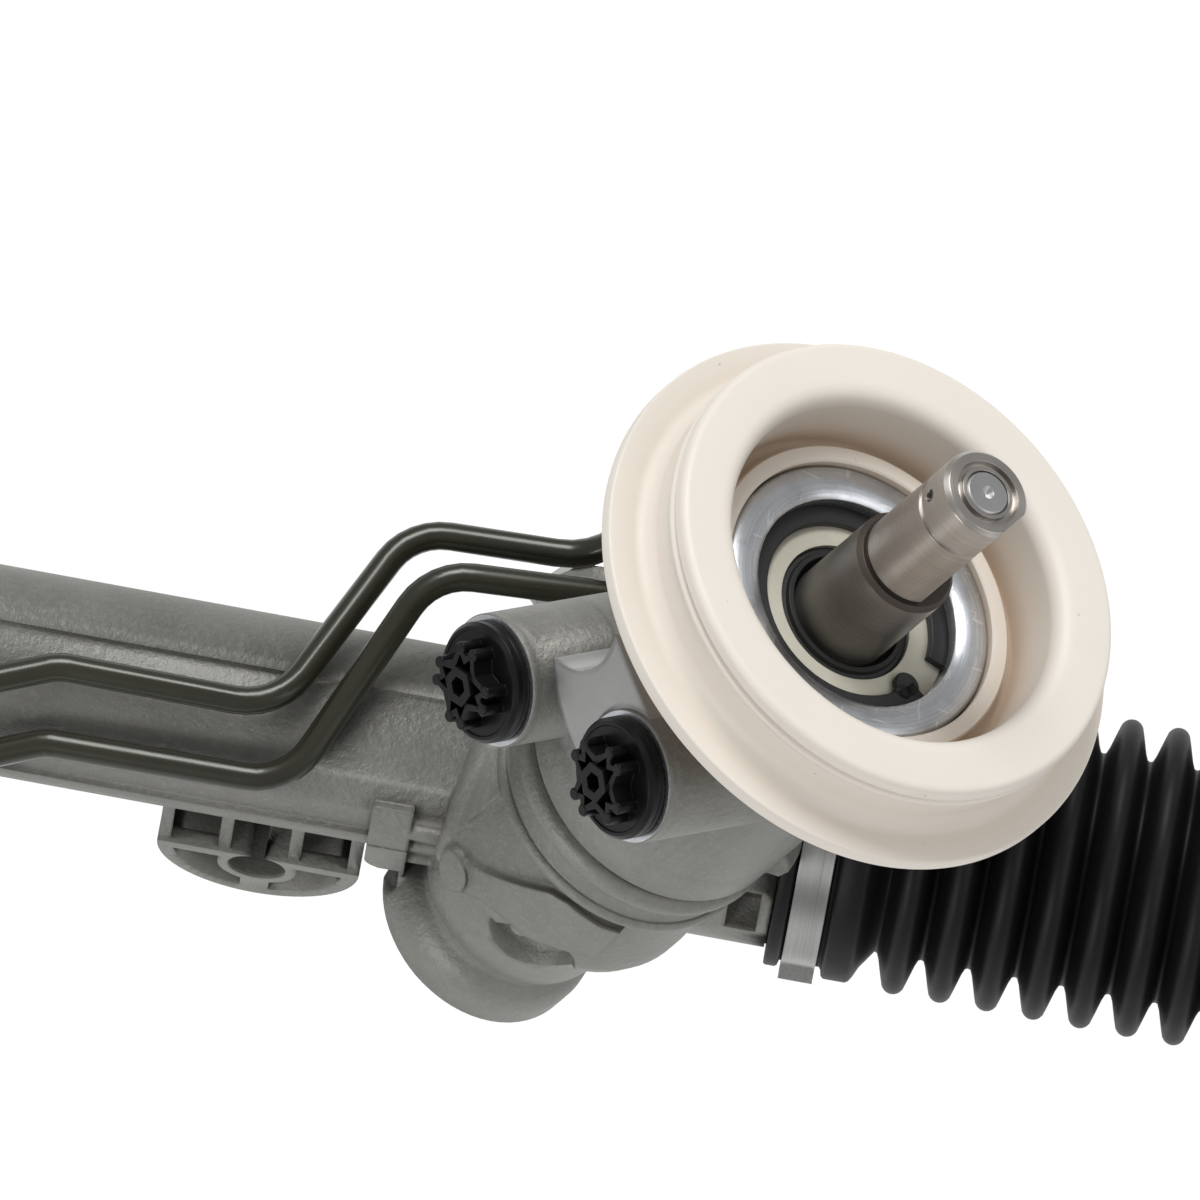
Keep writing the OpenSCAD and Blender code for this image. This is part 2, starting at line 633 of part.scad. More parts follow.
module rack_seal(w) {
    rotate_extrude() polygon([[rack_r + 0.05, w * 0.3], [rack_r + 0.05, w * 0.7],
        [rack_r + 1.2, w - 0.3], [rack_r + 2.4, w - 0.3], [rack_r + 2.6, w * 0.55],
        [tube_in_r - 1.6, w * 0.55], [tube_in_r - 1.4, w - 0.1], [tube_in_r - fit_gap, w - 0.1],
        [tube_in_r - fit_gap, 0.1], [rack_r + 1, 0.1]]);
}
module inner_rack_seal() {
    color(RUBBER) on_rack() along_x(-inner_seal_x - seal_w) rack_seal(seal_w);
}
outer_seal_w = 6;
module outer_rack_seal() {
    color(RUBBER) on_rack() along_x(-bush_x - outer_seal_w) rack_seal(outer_seal_w);
}
module rack_bush() {
    color(POLYMER) on_rack() along_x(-bush_x - bush_w + 0.1)
        ring(tube_in_r - fit_gap, rack_r + 0.04, bush_w - outer_seal_w - 0.3);
}

// Steel line of straight lengths and round bends through a list of corners
bend_steps = 6;
line_sides = 16;
function turn_of(p, i) = acos(unit(p[i] - p[i - 1]) * unit(p[i + 1] - p[i]));
function bend_at(p, i) = let (before = unit(p[i] - p[i - 1]), turn = turn_of(p, i),
    axis = unit(cross(before, p[i + 1] - p[i])), out = cross(before, axis),
    centre = p[i] - before * line_bend_r * tan(turn / 2) - out * line_bend_r)
    [for (k = [0:bend_steps]) let (a = k * turn / bend_steps)
        centre + out * line_bend_r * cos(a) + before * line_bend_r * sin(a)];
function line_path(p) = concat([p[0]], [for (i = [1:len(p) - 2]) each bend_at(p, i)], [p[len(p) - 1]]);
nut_reach = 6;
line_in = 4;
upper_route = [around_rack(-tube_ports[0][0], tube_ports[0][1], tube_port_reach - line_in),
    around_rack(-tube_ports[0][0], tube_ports[0][1], 51), around_rack(-300, 29, 51),
    around_rack(-180, 29, 29.6), around_rack(-132, 29, 29.6), around_rack(-112, 13, 28),
    around_rack(-66, 14, 28.4), [-45, 37, 28], [-1, 39.4, 25],
    from_pinion(66, line_ports[0][1], line_ports[0][0]),
    from_pinion(line_port_reach - line_in, line_ports[0][1], line_ports[0][0])];
lower_route = [around_rack(-tube_ports[1][0], tube_ports[1][1], tube_port_reach - line_in),
    around_rack(-tube_ports[1][0], tube_ports[1][1], 58), around_rack(-132, 64, 30),
    around_rack(-112, 48, 27), around_rack(-61, 45, 29), [-39, 25.5, 36.5],
    [1.1, 29.4, 31.8], [20.4, 43.3, 12.2],
    from_pinion(72.4, line_ports[1][1], line_ports[1][0]),
    from_pinion(line_port_reach - line_in, line_ports[1][1], line_ports[1][0])];
module upper_line() { color(OLIVE) on_rack() swept_tube(line_path(upper_route), line_d / 2, line_sides); }
module lower_line() { color(OLIVE) on_rack() swept_tube(line_path(lower_route), line_d / 2, line_sides); }
module line_nut() {
    difference() {
        union() {
            translate([0, 0, 0.05]) cylinder(r = 7.4, h = nut_reach, $fn = 6);
            translate([0, 0, 0.5 - line_in]) cylinder(r = line_hole_r - fit_gap, h = line_in);
        }
        translate([0, 0, -line_in]) cylinder(d = line_d + 2 * fit_gap, h = 2 * nut_reach);
    }
}
module line_nuts() {
    color(STEEL) {
        for (p = line_ports)
            on_pinion() at_port(p[1], p[0], 0) translate([0, 0, line_port_reach]) line_nut();
        for (p = tube_ports) at_tube_port(p) translate([0, 0, tube_port_reach]) line_nut();
    }
}

// Bellows outline along its axis, from the housing end outwards
fold_r = bellows_d / 2;
dale_r = valley_d / 2;
small_start = taper_end;
small_end = taper_end + small_cuff_l;
small_r = rod_r + 3.4;
function fold_points(drop) = [for (i = [0:folds - 1]) let (x = first_fold + i * fold_pitch)
    each [[dale_r - drop, x - fold_pitch / 2], [dale_r + 1 - drop, x - fold_pitch / 2 + 1],
        [fold_r - 1.6 - drop, x - 2], [fold_r - 0.4 - drop, x - 1], [fold_r - drop, x],
        [fold_r - 0.4 - drop, x + 1], [fold_r - 1.6 - drop, x + 2],
        [dale_r + 1 - drop, x + fold_pitch / 2 - 1]]];
module bellows() {
    last_dale = first_fold + (folds - 0.5) * fold_pitch;
    outside = concat([[neck_r + 4, cuff_start], [neck_r + 4, cuff_start + 2.8], [cuff_r, cuff_start + 3.2],
        [cuff_r, -1.2], [neck_r + 5.1, -0.7], [neck_r + 5.1, cuff_end], [neck_r + 3, cuff_end + 1.6]],
        fold_points(0), [[dale_r, last_dale], [dale_r + 3, last_dale + 3], [dale_r + 3, last_dale + 5],
        [small_r + 5, small_start - 2], [small_r, small_start], [small_r, small_end - 2],
        [small_r + 1, small_end - 2], [small_r + 1, small_end]]);
    inside = concat([[rod_r + 0.3, small_end], [rod_r + 0.3, small_start + 1],
        [small_r + 3, small_start - 3], [dale_r + 1 - bellows_wall, last_dale + 4],
        [dale_r - bellows_wall, last_dale]],
        [for (i = [len(fold_points(0)) - 1:-1:0]) fold_points(bellows_wall)[i]],
        [[neck_r - 2, cuff_end + 1], [neck_r - 2, 0.3], [neck_r + fit_gap, 0.3],
        [neck_r + fit_gap, cuff_start + 5.8],
        [neck_r - 1.4, cuff_start + 5.8], [neck_r - 1.4, cuff_start + 2.2],
        [neck_r + fit_gap, cuff_start + 2.2], [neck_r + fit_gap, cuff_start]]);
    rotate_extrude() polygon(concat(outside, inside));
}
module bellows_right() { color(RUBBER) on_rack() along_x(right_end_x) bellows(); }
module bellows_left() { color(RUBBER) on_rack() mirror([1, 0, 0]) along_x(left_end_x) bellows(); }

module large_clamp() {
    translate([0, 0, cuff_start + 3.6]) {
        ring(cuff_r + fit_gap + clamp_t, cuff_r + fit_gap, clamp_w);
        // Crimped ear
        rotate(-60) translate([cuff_r + clamp_t - 0.2, -3, 0]) difference() {
            cube([3.2, 6, clamp_w]);
            translate([0.5, 0.9, -1]) cube([1.7, 4.2, clamp_w + 2]);
        }
    }
}
module large_clamps() {
    color(STEEL) {
        on_rack() along_x(right_end_x) large_clamp();
        on_rack() mirror([1, 0, 0]) along_x(left_end_x) large_clamp();
    }
}
module small_clamp() {
    translate([0, 0, small_start + 2.4]) {
        ring(small_r + 1.1, small_r + 0.3, 6);
        for (side = [-1, 1]) translate([small_r + 0.6, side * 1.6 - 0.6, 1]) cube([5.4, 1.2, 4]);
    }
}
module small_clamp_right() { color(STEEL) on_rack() along_x(right_end_x) small_clamp(); }
module small_clamp_left() {
    color(STEEL) on_rack() mirror([1, 0, 0]) along_x(left_end_x) small_clamp();
}

// Input shaft: thick part in the seal, flatted end with a pinned torsion bar
shoulder_z = rim_z + shoulder_out;
shaft_top_z = rim_z + shaft_out;
bar_head_r = 5;
pin_r = 1.3;
top_pin_z = shaft_top_z - 6.5;
pin_ang = -167.8;
flat_at = 8.3;
nose_r = 7;
nose_z = 25;
sleeve_low_z = valve_low_z + 3.2;
module input_shaft() {
    groove_z = shaft_top_z - 10.7;
    color(STEEL) on_pinion() difference() {
        union() {
            translate([0, 0, nose_z]) cylinder(r = nose_r, h = sleeve_low_z - nose_z + 1);
            translate([0, 0, sleeve_low_z + 0.5]) cylinder(r = shaft_r, h = shoulder_z - sleeve_low_z - 1.5);
            translate([0, 0, shoulder_z - 1]) cylinder(r1 = shaft_r, r2 = shaft_r - 0.9, h = 1);
            translate([0, 0, shoulder_z - 0.1]) cylinder(r = end_r - 0.4, h = 1.2);
            translate([0, 0, shoulder_z + 1]) cylinder(r = end_r, h = shaft_out - shoulder_out - 2);
            translate([0, 0, shaft_top_z - 1]) cylinder(r1 = end_r, r2 = end_r - 0.9, h = 1);
        }
        translate([0, 0, nose_z - 1]) cylinder(r = bar_head_r + fit_gap, h = tower_h + shaft_out);
        translate([0, 0, shaft_top_z - 1.4]) ring(7.2, 5.9, 2);
        translate([0, 0, groove_z]) ring(end_r + 1, end_r - 0.4, 1.2);
        rotate(ear_ang) translate([flat_at, -end_r - 1, shoulder_z + 0.01])
            cube([4, 2 * end_r + 2, shaft_out]);
        rotate(pin_ang) translate([-end_r - 2, 0, top_pin_z]) rotate([0, 90, 0])
            cylinder(r = pin_r + fit_gap, h = 2 * end_r + 4);
    }
}
bar_foot_z = 4;
low_pin_z = 21;
module torsion_bar() {
    color(STEEL) on_pinion() difference() {
        union() {
            translate([0, 0, bar_foot_z]) cylinder(r = bar_head_r - 0.6, h = nose_z - bar_foot_z - 1);
            translate([0, 0, nose_z - 2]) cylinder(r = 2.8, h = shaft_top_z - nose_z - 16);
            translate([0, 0, shaft_top_z - 18]) cylinder(r = bar_head_r, h = 17.6);
            translate([0, 0, shaft_top_z - 0.4]) cylinder(r1 = bar_head_r, r2 = bar_head_r - 0.5, h = 0.5);
        }
        translate([0, 0, shaft_top_z - 1.1]) cylinder(r1 = 0.2, r2 = 1.5, h = 1.3);
        rotate(pin_ang) translate([-end_r, 0, top_pin_z]) rotate([0, 90, 0])
            cylinder(r = pin_r + fit_gap, h = 2 * end_r);
        translate([-end_r, 0, low_pin_z]) rotate([0, 90, 0]) cylinder(r = pin_r + fit_gap, h = 2 * end_r);
    }
}
module torsion_pins() {
    color(DARK_STEEL) on_pinion() {
        rotate(pin_ang) translate([0.6 - end_r, 0, top_pin_z]) rotate([0, 90, 0])
            cylinder(r = pin_r, h = 2 * end_r - 1.2);
        translate([1 - pinion_neck_r, 0, low_pin_z]) rotate([0, 90, 0])
            cylinder(r = pin_r, h = 2 * pinion_neck_r - 2);
    }
}

// Valve sleeve with annular channels and seal rings
sleeve_r = valve_bore_r - 0.08;
sleeve_top_z = valve_top_z - 1;
channels = [55.3, 63.5, 76, 84.2];
ring_places = [45, 58.4, 69, 79.2];
ring_w = 1.8;
ring_depth = 1.5;
module valve_sleeve() {
    color(STEEL) on_pinion() difference() {
        translate([0, 0, sleeve_low_z]) ring(sleeve_r, shaft_r + fit_gap, sleeve_top_z - sleeve_low_z);
        for (z = ring_places) translate([0, 0, z]) ring(sleeve_r + 1, sleeve_r - ring_depth, ring_w);
        for (z = channels) {
            translate([0, 0, z - 1.8]) ring(sleeve_r + 1, sleeve_r - 1.2, 3.2);
            for (a = [0:90:270]) rotate(a + 20 * z) translate([0, 0, z]) rotate([0, 90, 0])
                cylinder(r = 1.2, h = sleeve_r + 1);
        }
    }
}
module valve_rings() {
    color(POLYMER) on_pinion() for (z = ring_places)
        translate([0, 0, z + 0.05]) ring(valve_bore_r - 0.05, sleeve_r - ring_depth + fit_gap, ring_w - 0.1);
}

// Pinion with its neck, valve flange and bearing journal
pinion_neck_r = 10;
thread_end_z = -34.5;
module pinion() {
    color(STEEL) on_pinion() difference() {
        union() {
            translate([0, 0, -gear_half]) linear_extrude(height = gear_face_l) pinion_outline();
            translate([0, 0, gear_half]) cylinder(r = pinion_neck_r, h = valve_low_z - gear_half + 1);
            translate([0, 0, valve_low_z + 0.6]) cylinder(r = valve_bore_r - 1.2, h = 2.5);
            translate([0, 0, low_bearing_z - 0.5]) cylinder(r = journal_r, h = -gear_half - low_bearing_z + 0.5);
            translate([0, 0, thread_end_z]) cylinder(r = 6, h = -gear_half - thread_end_z);
        }
        translate([0, 0, bar_foot_z - 1]) cylinder(r = bar_head_r - 0.6 + fit_gap, h = valve_low_z);
        translate([0, 0, nose_z - 0.5]) cylinder(r = nose_r + fit_gap, h = valve_low_z);
        translate([-end_r - 2, 0, low_pin_z]) rotate([0, 90, 0]) cylinder(r = pin_r + fit_gap, h = 2 * end_r + 4);
    }
}
module pinion_nut() {
    color(STEEL) on_pinion() translate([0, 0, low_bearing_z - 5.4]) difference() {
        cylinder(r = 10.4, h = 4.8, $fn = 6);
        translate([0, 0, -1]) cylinder(r = 6 + fit_gap, h = 7);
    }
}

// Rack bar with oblique teeth
pitch_y = pinion_y + pitch_r;
space_root_y = pitch_y + pinion_addendum + root_gap;
function space_half(y) = rack_pitch / 4 + flank_gap + (pitch_y - y) * tan(pressure_angle);
module tooth_space() {
    top_y = tip_y - 0.5;
    polygon([[-space_half(space_root_y), space_root_y], [space_half(space_root_y), space_root_y],
        [space_half(top_y), top_y], [-space_half(top_y), top_y]]);
}
module rack_bar() {
    spaces = floor(toothed_l / axial_pitch / 2);
    color(STEEL) on_gear() difference() {
        union() {
            along_x(-left_ball_face) cylinder(r = rack_r, h = left_ball_face + right_ball_face);
            along_x(-left_ball_face - stud_l) cylinder(r = stud_r, h = stud_l + 2);
            along_x(right_ball_face - 2) cylinder(r = stud_r, h = stud_l + 2);
        }
        translate([-toothed_l / 2, tip_y - 10, -rack_r - 1]) cube([toothed_l, 10, 2 * rack_r + 2]);
        for (i = [-spaces:spaces])
            translate([i * axial_pitch, 0, 0]) rotate([0, pinion_tilt, 0])
                linear_extrude(height = 3 * rack_r, center = true) tooth_space();
        along_x(-piston_x - piston_w / 2 - 2.6) ring(rack_r + 1, rack_r - 0.8, 1.6);
        along_x(-piston_x + piston_w / 2 + 1) ring(rack_r + 1, rack_r - 0.8, 1.6);
    }
}
piston_r = tube_in_r - 0.3;
module rack_piston() {
    color(STEEL) on_rack() along_x(-piston_x - piston_w / 2) difference() {
        ring(piston_r, rack_r + fit_gap, piston_w);
        translate([0, 0, piston_w / 2 - 2.5]) ring(piston_r + 1, piston_r - 2, 5);
    }
}
module piston_ring() {
    color(POLYMER) on_rack() along_x(-piston_x - 2.4) ring(tube_in_r - 0.04, piston_r - 1.9, 4.8);
}

// Ball joint between the rack and a rod; local origin on the rack's end face
module ball_socket() {
    difference() {
        union() {
            cylinder(r = socket_r, h = socket_l - 4);
            translate([0, 0, socket_l - 4]) cylinder(r1 = socket_r, r2 = socket_r - 2.4, h = 4);
        }
        translate([0, 0, -1]) cylinder(r = stud_r + fit_gap, h = stud_l + 1.6);
        translate([0, 0, ball_in]) sphere(r = cavity_r);
        translate([0, 0, ball_in + mouth_in - 2]) cylinder(r = 0.8 * ball_r + 0.6, h = 3);
        for (side = [-1, 1]) translate([side * (socket_r + 3.4), 0, 7])
            cube([10, 3 * socket_r, 10], center = true);
    }
}
module ball_seat() {
    difference() {
        sphere(r = cavity_r - fit_gap);
        sphere(r = ball_r + 0.04);
        translate([-20, -20, mouth_in - 3.4]) cube([40, 40, 20]);
    }
}
module ball_socket_right() { color(DARK_STEEL) on_rack() along_x(right_ball_face) ball_socket(); }
module ball_socket_left() {
    color(DARK_STEEL) on_rack() mirror([1, 0, 0]) along_x(left_ball_face) ball_socket();
}
module ball_seat_right() { color(POLYMER) on_rack() along_x(right_ball_x) ball_seat(); }
module ball_seat_left() { color(POLYMER) on_rack() mirror([1, 0, 0]) along_x(left_ball_x) ball_seat(); }

// Rod from the ball to its threaded end
neck_rod_r = 5.2;
thread_r = 7;
nut_seat_r = 6.6;
nut_h = 9;
module tie_rod() {
    thread_start = rod_l - rod_thread_l;
    sphere(r = ball_r);
    cylinder(r = neck_rod_r, h = 20);
    translate([0, 0, 15]) cylinder(r1 = neck_rod_r, r2 = rod_r, h = 5);
    translate([0, 0, 20]) cylinder(r = rod_r, h = thread_start - 22);
    translate([0, 0, thread_start - 2]) cylinder(r1 = rod_r, r2 = nut_seat_r, h = 2);
    translate([0, 0, thread_start]) cylinder(r = nut_seat_r, h = nut_h + 3);
    translate([0, 0, thread_start + nut_h + 3]) cylinder(r = thread_r, h = rod_thread_l - nut_h - 4.5);
    translate([0, 0, rod_l - 1.5]) cylinder(r1 = thread_r, r2 = thread_r - 1.4, h = 1.5);
}
module rod_nut() {
    translate([0, 0, rod_l - rod_thread_l + 1.5]) difference() {
        intersection() {
            cylinder(r = 12.1, h = nut_h, $fn = 6);
            translate([0, 0, -1.2]) cylinder(r1 = 9.8, r2 = 9.8 + nut_h, h = nut_h + 2);
        }
        translate([0, 0, -1]) cylinder(r = nut_seat_r + fit_gap, h = nut_h + 2);
    }
}
module tie_rod_right() { color(DARK_STEEL) on_rack() along_x(right_ball_x) tie_rod(); }
module tie_rod_left() { color(DARK_STEEL) on_rack() mirror([1, 0, 0]) along_x(left_ball_x) tie_rod(); }
module rod_nut_right() { color(STEEL) on_rack() along_x(right_ball_x) rod_nut(); }
module rod_nut_left() { color(STEEL) on_rack() mirror([1, 0, 0]) along_x(left_ball_x) rod_nut(); }

gear_housing();
bottom_cap();
port_plugs();
seal_collar();
circlip();
seal_washer();
shaft_seal();
upper_bearing();
lower_bearing_race();
bearing_balls();
yoke();
yoke_liner();
yoke_spring();
yoke_adjuster();
yoke_locknut();
cylinder_tube();
end_housing();
inner_rack_seal();
rack_bush();
outer_rack_seal();
upper_line();
lower_line();
line_nuts();
bellows_right();
bellows_left();
large_clamps();
small_clamp_right();
small_clamp_left();
input_shaft();
torsion_bar();
torsion_pins();
valve_sleeve();
valve_rings();
pinion();
pinion_inner_race();
pinion_nut();
rack_bar();
rack_piston();
piston_ring();
ball_socket_right();
ball_socket_left();
ball_seat_right();
ball_seat_left();
tie_rod_right();
tie_rod_left();
rod_nut_right();
rod_nut_left();
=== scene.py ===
"""Steering rack: materials, cast and moulded details, bellows, studio light and camera.

The part's own frame is in metres: +X runs along the rack, +Y to the rear, +Z up. Shapes are
written in mm in the frames RACK, GEAR and PINION. The first two start where the pinion crosses
the rack, and the third lies on the pinion's axis.
"""
import json
import math

import bmesh
import bpy
from mathutils import Matrix, Vector


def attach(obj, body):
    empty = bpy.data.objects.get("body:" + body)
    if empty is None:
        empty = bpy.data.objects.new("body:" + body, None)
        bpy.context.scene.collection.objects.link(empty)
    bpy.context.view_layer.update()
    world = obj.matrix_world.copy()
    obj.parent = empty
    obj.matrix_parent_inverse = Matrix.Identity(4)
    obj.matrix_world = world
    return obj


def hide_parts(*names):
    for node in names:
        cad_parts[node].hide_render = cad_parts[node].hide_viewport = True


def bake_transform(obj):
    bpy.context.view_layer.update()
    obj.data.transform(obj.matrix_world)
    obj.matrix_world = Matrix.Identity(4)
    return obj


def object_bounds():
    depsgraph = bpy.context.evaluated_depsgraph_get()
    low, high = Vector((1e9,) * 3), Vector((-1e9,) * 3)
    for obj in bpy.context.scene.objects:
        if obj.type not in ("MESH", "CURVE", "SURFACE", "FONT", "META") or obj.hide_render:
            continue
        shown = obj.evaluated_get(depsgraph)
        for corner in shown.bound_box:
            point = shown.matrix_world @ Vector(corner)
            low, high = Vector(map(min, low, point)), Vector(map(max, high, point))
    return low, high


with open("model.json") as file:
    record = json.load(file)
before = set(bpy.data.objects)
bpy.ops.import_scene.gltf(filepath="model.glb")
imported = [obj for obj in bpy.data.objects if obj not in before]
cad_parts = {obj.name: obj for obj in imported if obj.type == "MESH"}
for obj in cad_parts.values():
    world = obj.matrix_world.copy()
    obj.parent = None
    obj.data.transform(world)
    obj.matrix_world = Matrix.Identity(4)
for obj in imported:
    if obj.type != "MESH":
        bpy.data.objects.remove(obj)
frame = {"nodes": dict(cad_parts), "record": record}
cad_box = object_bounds()
NODES = frame["nodes"]

# The pinion's frame
MM = 0.001
TILT, LEAN = math.radians(25), math.radians(14.3)
PINION_FRONT = 15.6        # from the rack's axis to the pinion's
BALL_X = 154               # from the crossing to the right ball joint
SWING = next(j for j in frame["record"]["behaviour"]["joints"] if j["name"] == "rod_swing_right")
CROSSING = Vector(SWING["pos_m"]) - Vector((BALL_X, 0, 0)) * MM
ROLL = Matrix.Rotation(-LEAN, 3, "X")
PINION_X = ROLL @ Vector((math.cos(TILT), 0, -math.sin(TILT)))
PINION_Y = ROLL @ Vector((0, 1, 0))
PINION_Z = ROLL @ Vector((math.sin(TILT), 0, math.cos(TILT)))
PINION_O = CROSSING + ROLL @ Vector((0, -PINION_FRONT * MM, 0))


def in_pinion(p):
    """Point in the pinion's frame, in metres."""
    d = p - PINION_O
    return Vector((d.dot(PINION_X), d.dot(PINION_Y), d.dot(PINION_Z)))


# Materials
class Shader:
    """A material whose nodes are added one after the other."""

    def __init__(self, name, base, rough, metal=0.0, edge=0.0, **inputs):
        self.mat = bpy.data.materials.new(name)
        self.mat.use_nodes = True
        self.tree = self.mat.node_tree
        self.bsdf = self.tree.nodes["Principled BSDF"]
        self.bsdf.inputs["Base Color"].default_value = (*base, 1)
        self.bsdf.inputs["Roughness"].default_value = rough
        self.bsdf.inputs["Metallic"].default_value = metal
        for key, value in inputs.items():
            self.bsdf.inputs[key.replace("_", " ")].default_value = value
        self.coord = self.add("ShaderNodeTexCoord").outputs["Object"]
        self.bumps = None
        if edge:
            rounded = self.add("ShaderNodeBevel", samples=4)
            rounded.inputs["Radius"].default_value = edge
            self.bumps = rounded.outputs["Normal"]
            self.link(self.bumps, self.bsdf.inputs["Normal"])

    def add(self, kind, **props):
        node = self.tree.nodes.new(kind)
        for key, value in props.items():
            setattr(node, key, value)
        return node

    def link(self, a, b):
        self.tree.links.new(a, b)

    def noise(self, scale, detail=3.0, rough=0.55, stretch=(1, 1, 1), coord=None):
        mapping = self.add("ShaderNodeMapping")
        mapping.inputs["Scale"].default_value = stretch
        self.link(coord or self.coord, mapping.inputs["Vector"])
        tex = self.add("ShaderNodeTexNoise")
        tex.inputs["Scale"].default_value = scale
        tex.inputs["Detail"].default_value = detail
        tex.inputs["Roughness"].default_value = rough
        self.link(mapping.outputs["Vector"], tex.inputs["Vector"])
        return tex.outputs["Fac"]

    def ramp(self, fac, stops):
        node = self.add("ShaderNodeValToRGB")
        ramp = node.color_ramp
        while len(ramp.elements) < len(stops):
            ramp.elements.new(0.5)
        for element, (pos, value) in zip(ramp.elements, stops):
            element.position = pos
            element.color = (*value, 1) if isinstance(value, tuple) else (value, value, value, 1)
        self.link(fac, node.inputs["Fac"])
        return node.outputs["Color"]

    def mix(self, fac, a, b):
        node = self.add("ShaderNodeMix", data_type="RGBA", blend_type="MIX")
        inputs = node.inputs
        for socket, value in ((inputs["Factor"], fac), (inputs[6], a), (inputs[7], b)):
            if isinstance(value, bpy.types.NodeSocket):
                self.link(value, socket)
            elif isinstance(value, tuple):
                socket.default_value = (*value, 1)
            else:
                socket.default_value = value
        return node.outputs[2]

    def corners(self, distance):
        """1 on open surfaces, falling towards 0 deep in a corner or a bore; the materials use it to
        paint shade.
        """
        node = self.add("ShaderNodeAmbientOcclusion", samples=6)
        node.inputs["Distance"].default_value = distance
        return node.outputs["AO"]

    def around(self, axis_origin, ax, ay, az):
        """(radius, angle, height) about an axis as a vector, for marks that run round it."""
        matrix = (Matrix((ax, ay, az))).to_4x4() @ Matrix.Translation(-axis_origin)
        parts = []
        for row in range(3):
            dot = self.add("ShaderNodeVectorMath", operation="DOT_PRODUCT")
            self.link(self.coord, dot.inputs[0])
            dot.inputs[1].default_value = matrix[row][:3]
            plus = self.add("ShaderNodeMath", operation="ADD")
            self.link(dot.outputs["Value"], plus.inputs[0])
            plus.inputs[1].default_value = matrix[row][3]
            parts.append(plus.outputs[0])
        angle = self.add("ShaderNodeMath", operation="ARCTAN2")
        self.link(parts[1], angle.inputs[0])
        self.link(parts[0], angle.inputs[1])
        flat = self.add("ShaderNodeCombineXYZ")
        self.link(parts[0], flat.inputs[0])
        self.link(parts[1], flat.inputs[1])
        radius = self.add("ShaderNodeVectorMath", operation="LENGTH")
        self.link(flat.outputs[0], radius.inputs[0])
        out = self.add("ShaderNodeCombineXYZ")
        self.link(radius.outputs["Value"], out.inputs[0])
        scaled = self.add("ShaderNodeMath", operation="MULTIPLY")
        self.link(angle.outputs[0], scaled.inputs[0])
        scaled.inputs[1].default_value = 0.01
        self.link(scaled.outputs[0], out.inputs[1])
        self.link(parts[2], out.inputs[2])
        return out.outputs[0]

    def around_tangent(self, axis_origin, axis):
        """Sets the gloss's direction to run round an axis."""
        away = self.add("ShaderNodeVectorMath", operation="SUBTRACT")
        self.link(self.coord, away.inputs[0])
        away.inputs[1].default_value = axis_origin
        round_it = self.add("ShaderNodeVectorMath", operation="CROSS_PRODUCT")
        round_it.inputs[0].default_value = axis
        self.link(away.outputs[0], round_it.inputs[1])
        unit = self.add("ShaderNodeVectorMath", operation="NORMALIZE")
        self.link(round_it.outputs[0], unit.inputs[0])
        self.link(unit.outputs[0], self.bsdf.inputs["Tangent"])

    def colour(self, socket):
        self.link(socket, self.bsdf.inputs["Base Color"])

    def rough(self, fac, low, high):
        node = self.add("ShaderNodeMapRange")
        node.inputs["To Min"].default_value = low
        node.inputs["To Max"].default_value = high
        self.link(fac, node.inputs["Value"])
        self.link(node.outputs["Result"], self.bsdf.inputs["Roughness"])

    def bump(self, height, strength, distance):
        node = self.add("ShaderNodeBump")
        node.inputs["Strength"].default_value = strength
        node.inputs["Distance"].default_value = distance
        self.link(height, node.inputs["Height"])
        if self.bumps:
            self.link(self.bumps, node.inputs["Normal"])
        self.bumps = node.outputs["Normal"]
        self.link(self.bumps, self.bsdf.inputs["Normal"])


def tone(colour, k):
    return tuple(min(1.0, c * k) for c in colour)


def cast_aluminium():
    """Sand-cast skin: fine grain with bright specks painted as glints, broad stains, and painted shade
    that darkens the corners.
    """
    base = (0.245, 0.243, 0.224)
    s = Shader("cast_aluminium", base, 0.5, 0.55, edge=0.0014)
    grain = s.noise(2300, 2, 0.6)
    coarse = s.noise(620, 3, 0.6)
    broad = s.noise(24, 4, 0.6)
    stain = s.noise(85, 5, 0.65)
    c = s.ramp(broad, [(0.3, tone(base, 0.86)), (0.7, tone(base, 1.12))])
    c = s.mix(s.ramp(stain, [(0.50, 0.0), (0.74, 0.5)]), c, tone(base, 0.74))
    c = s.mix(s.ramp(coarse, [(0.50, 0.0), (0.72, 0.4)]), c, tone(base, 1.35))
    # Painted glints: the finest grain gets bright specks in its colour; the same grain also bumps the
    # surface.
    c = s.mix(s.ramp(grain, [(0.60, 0.0), (0.74, 0.45)]), c, tone(base, 1.8))
    # Painted shade: corners and crevices darken towards near black by occlusion.
    c = s.mix(s.ramp(s.corners(0.012), [(0.25, 0.8), (0.8, 0.0)]), c, (0.085, 0.082, 0.070))
    s.colour(c)
    s.rough(coarse, 0.42, 0.62)
    s.bump(s.noise(260, 4, 0.6), 0.30, 0.0004)
    s.bump(coarse, 0.7, 0.0004)
    s.bump(grain, 0.5, 0.00016)
    return s.mat


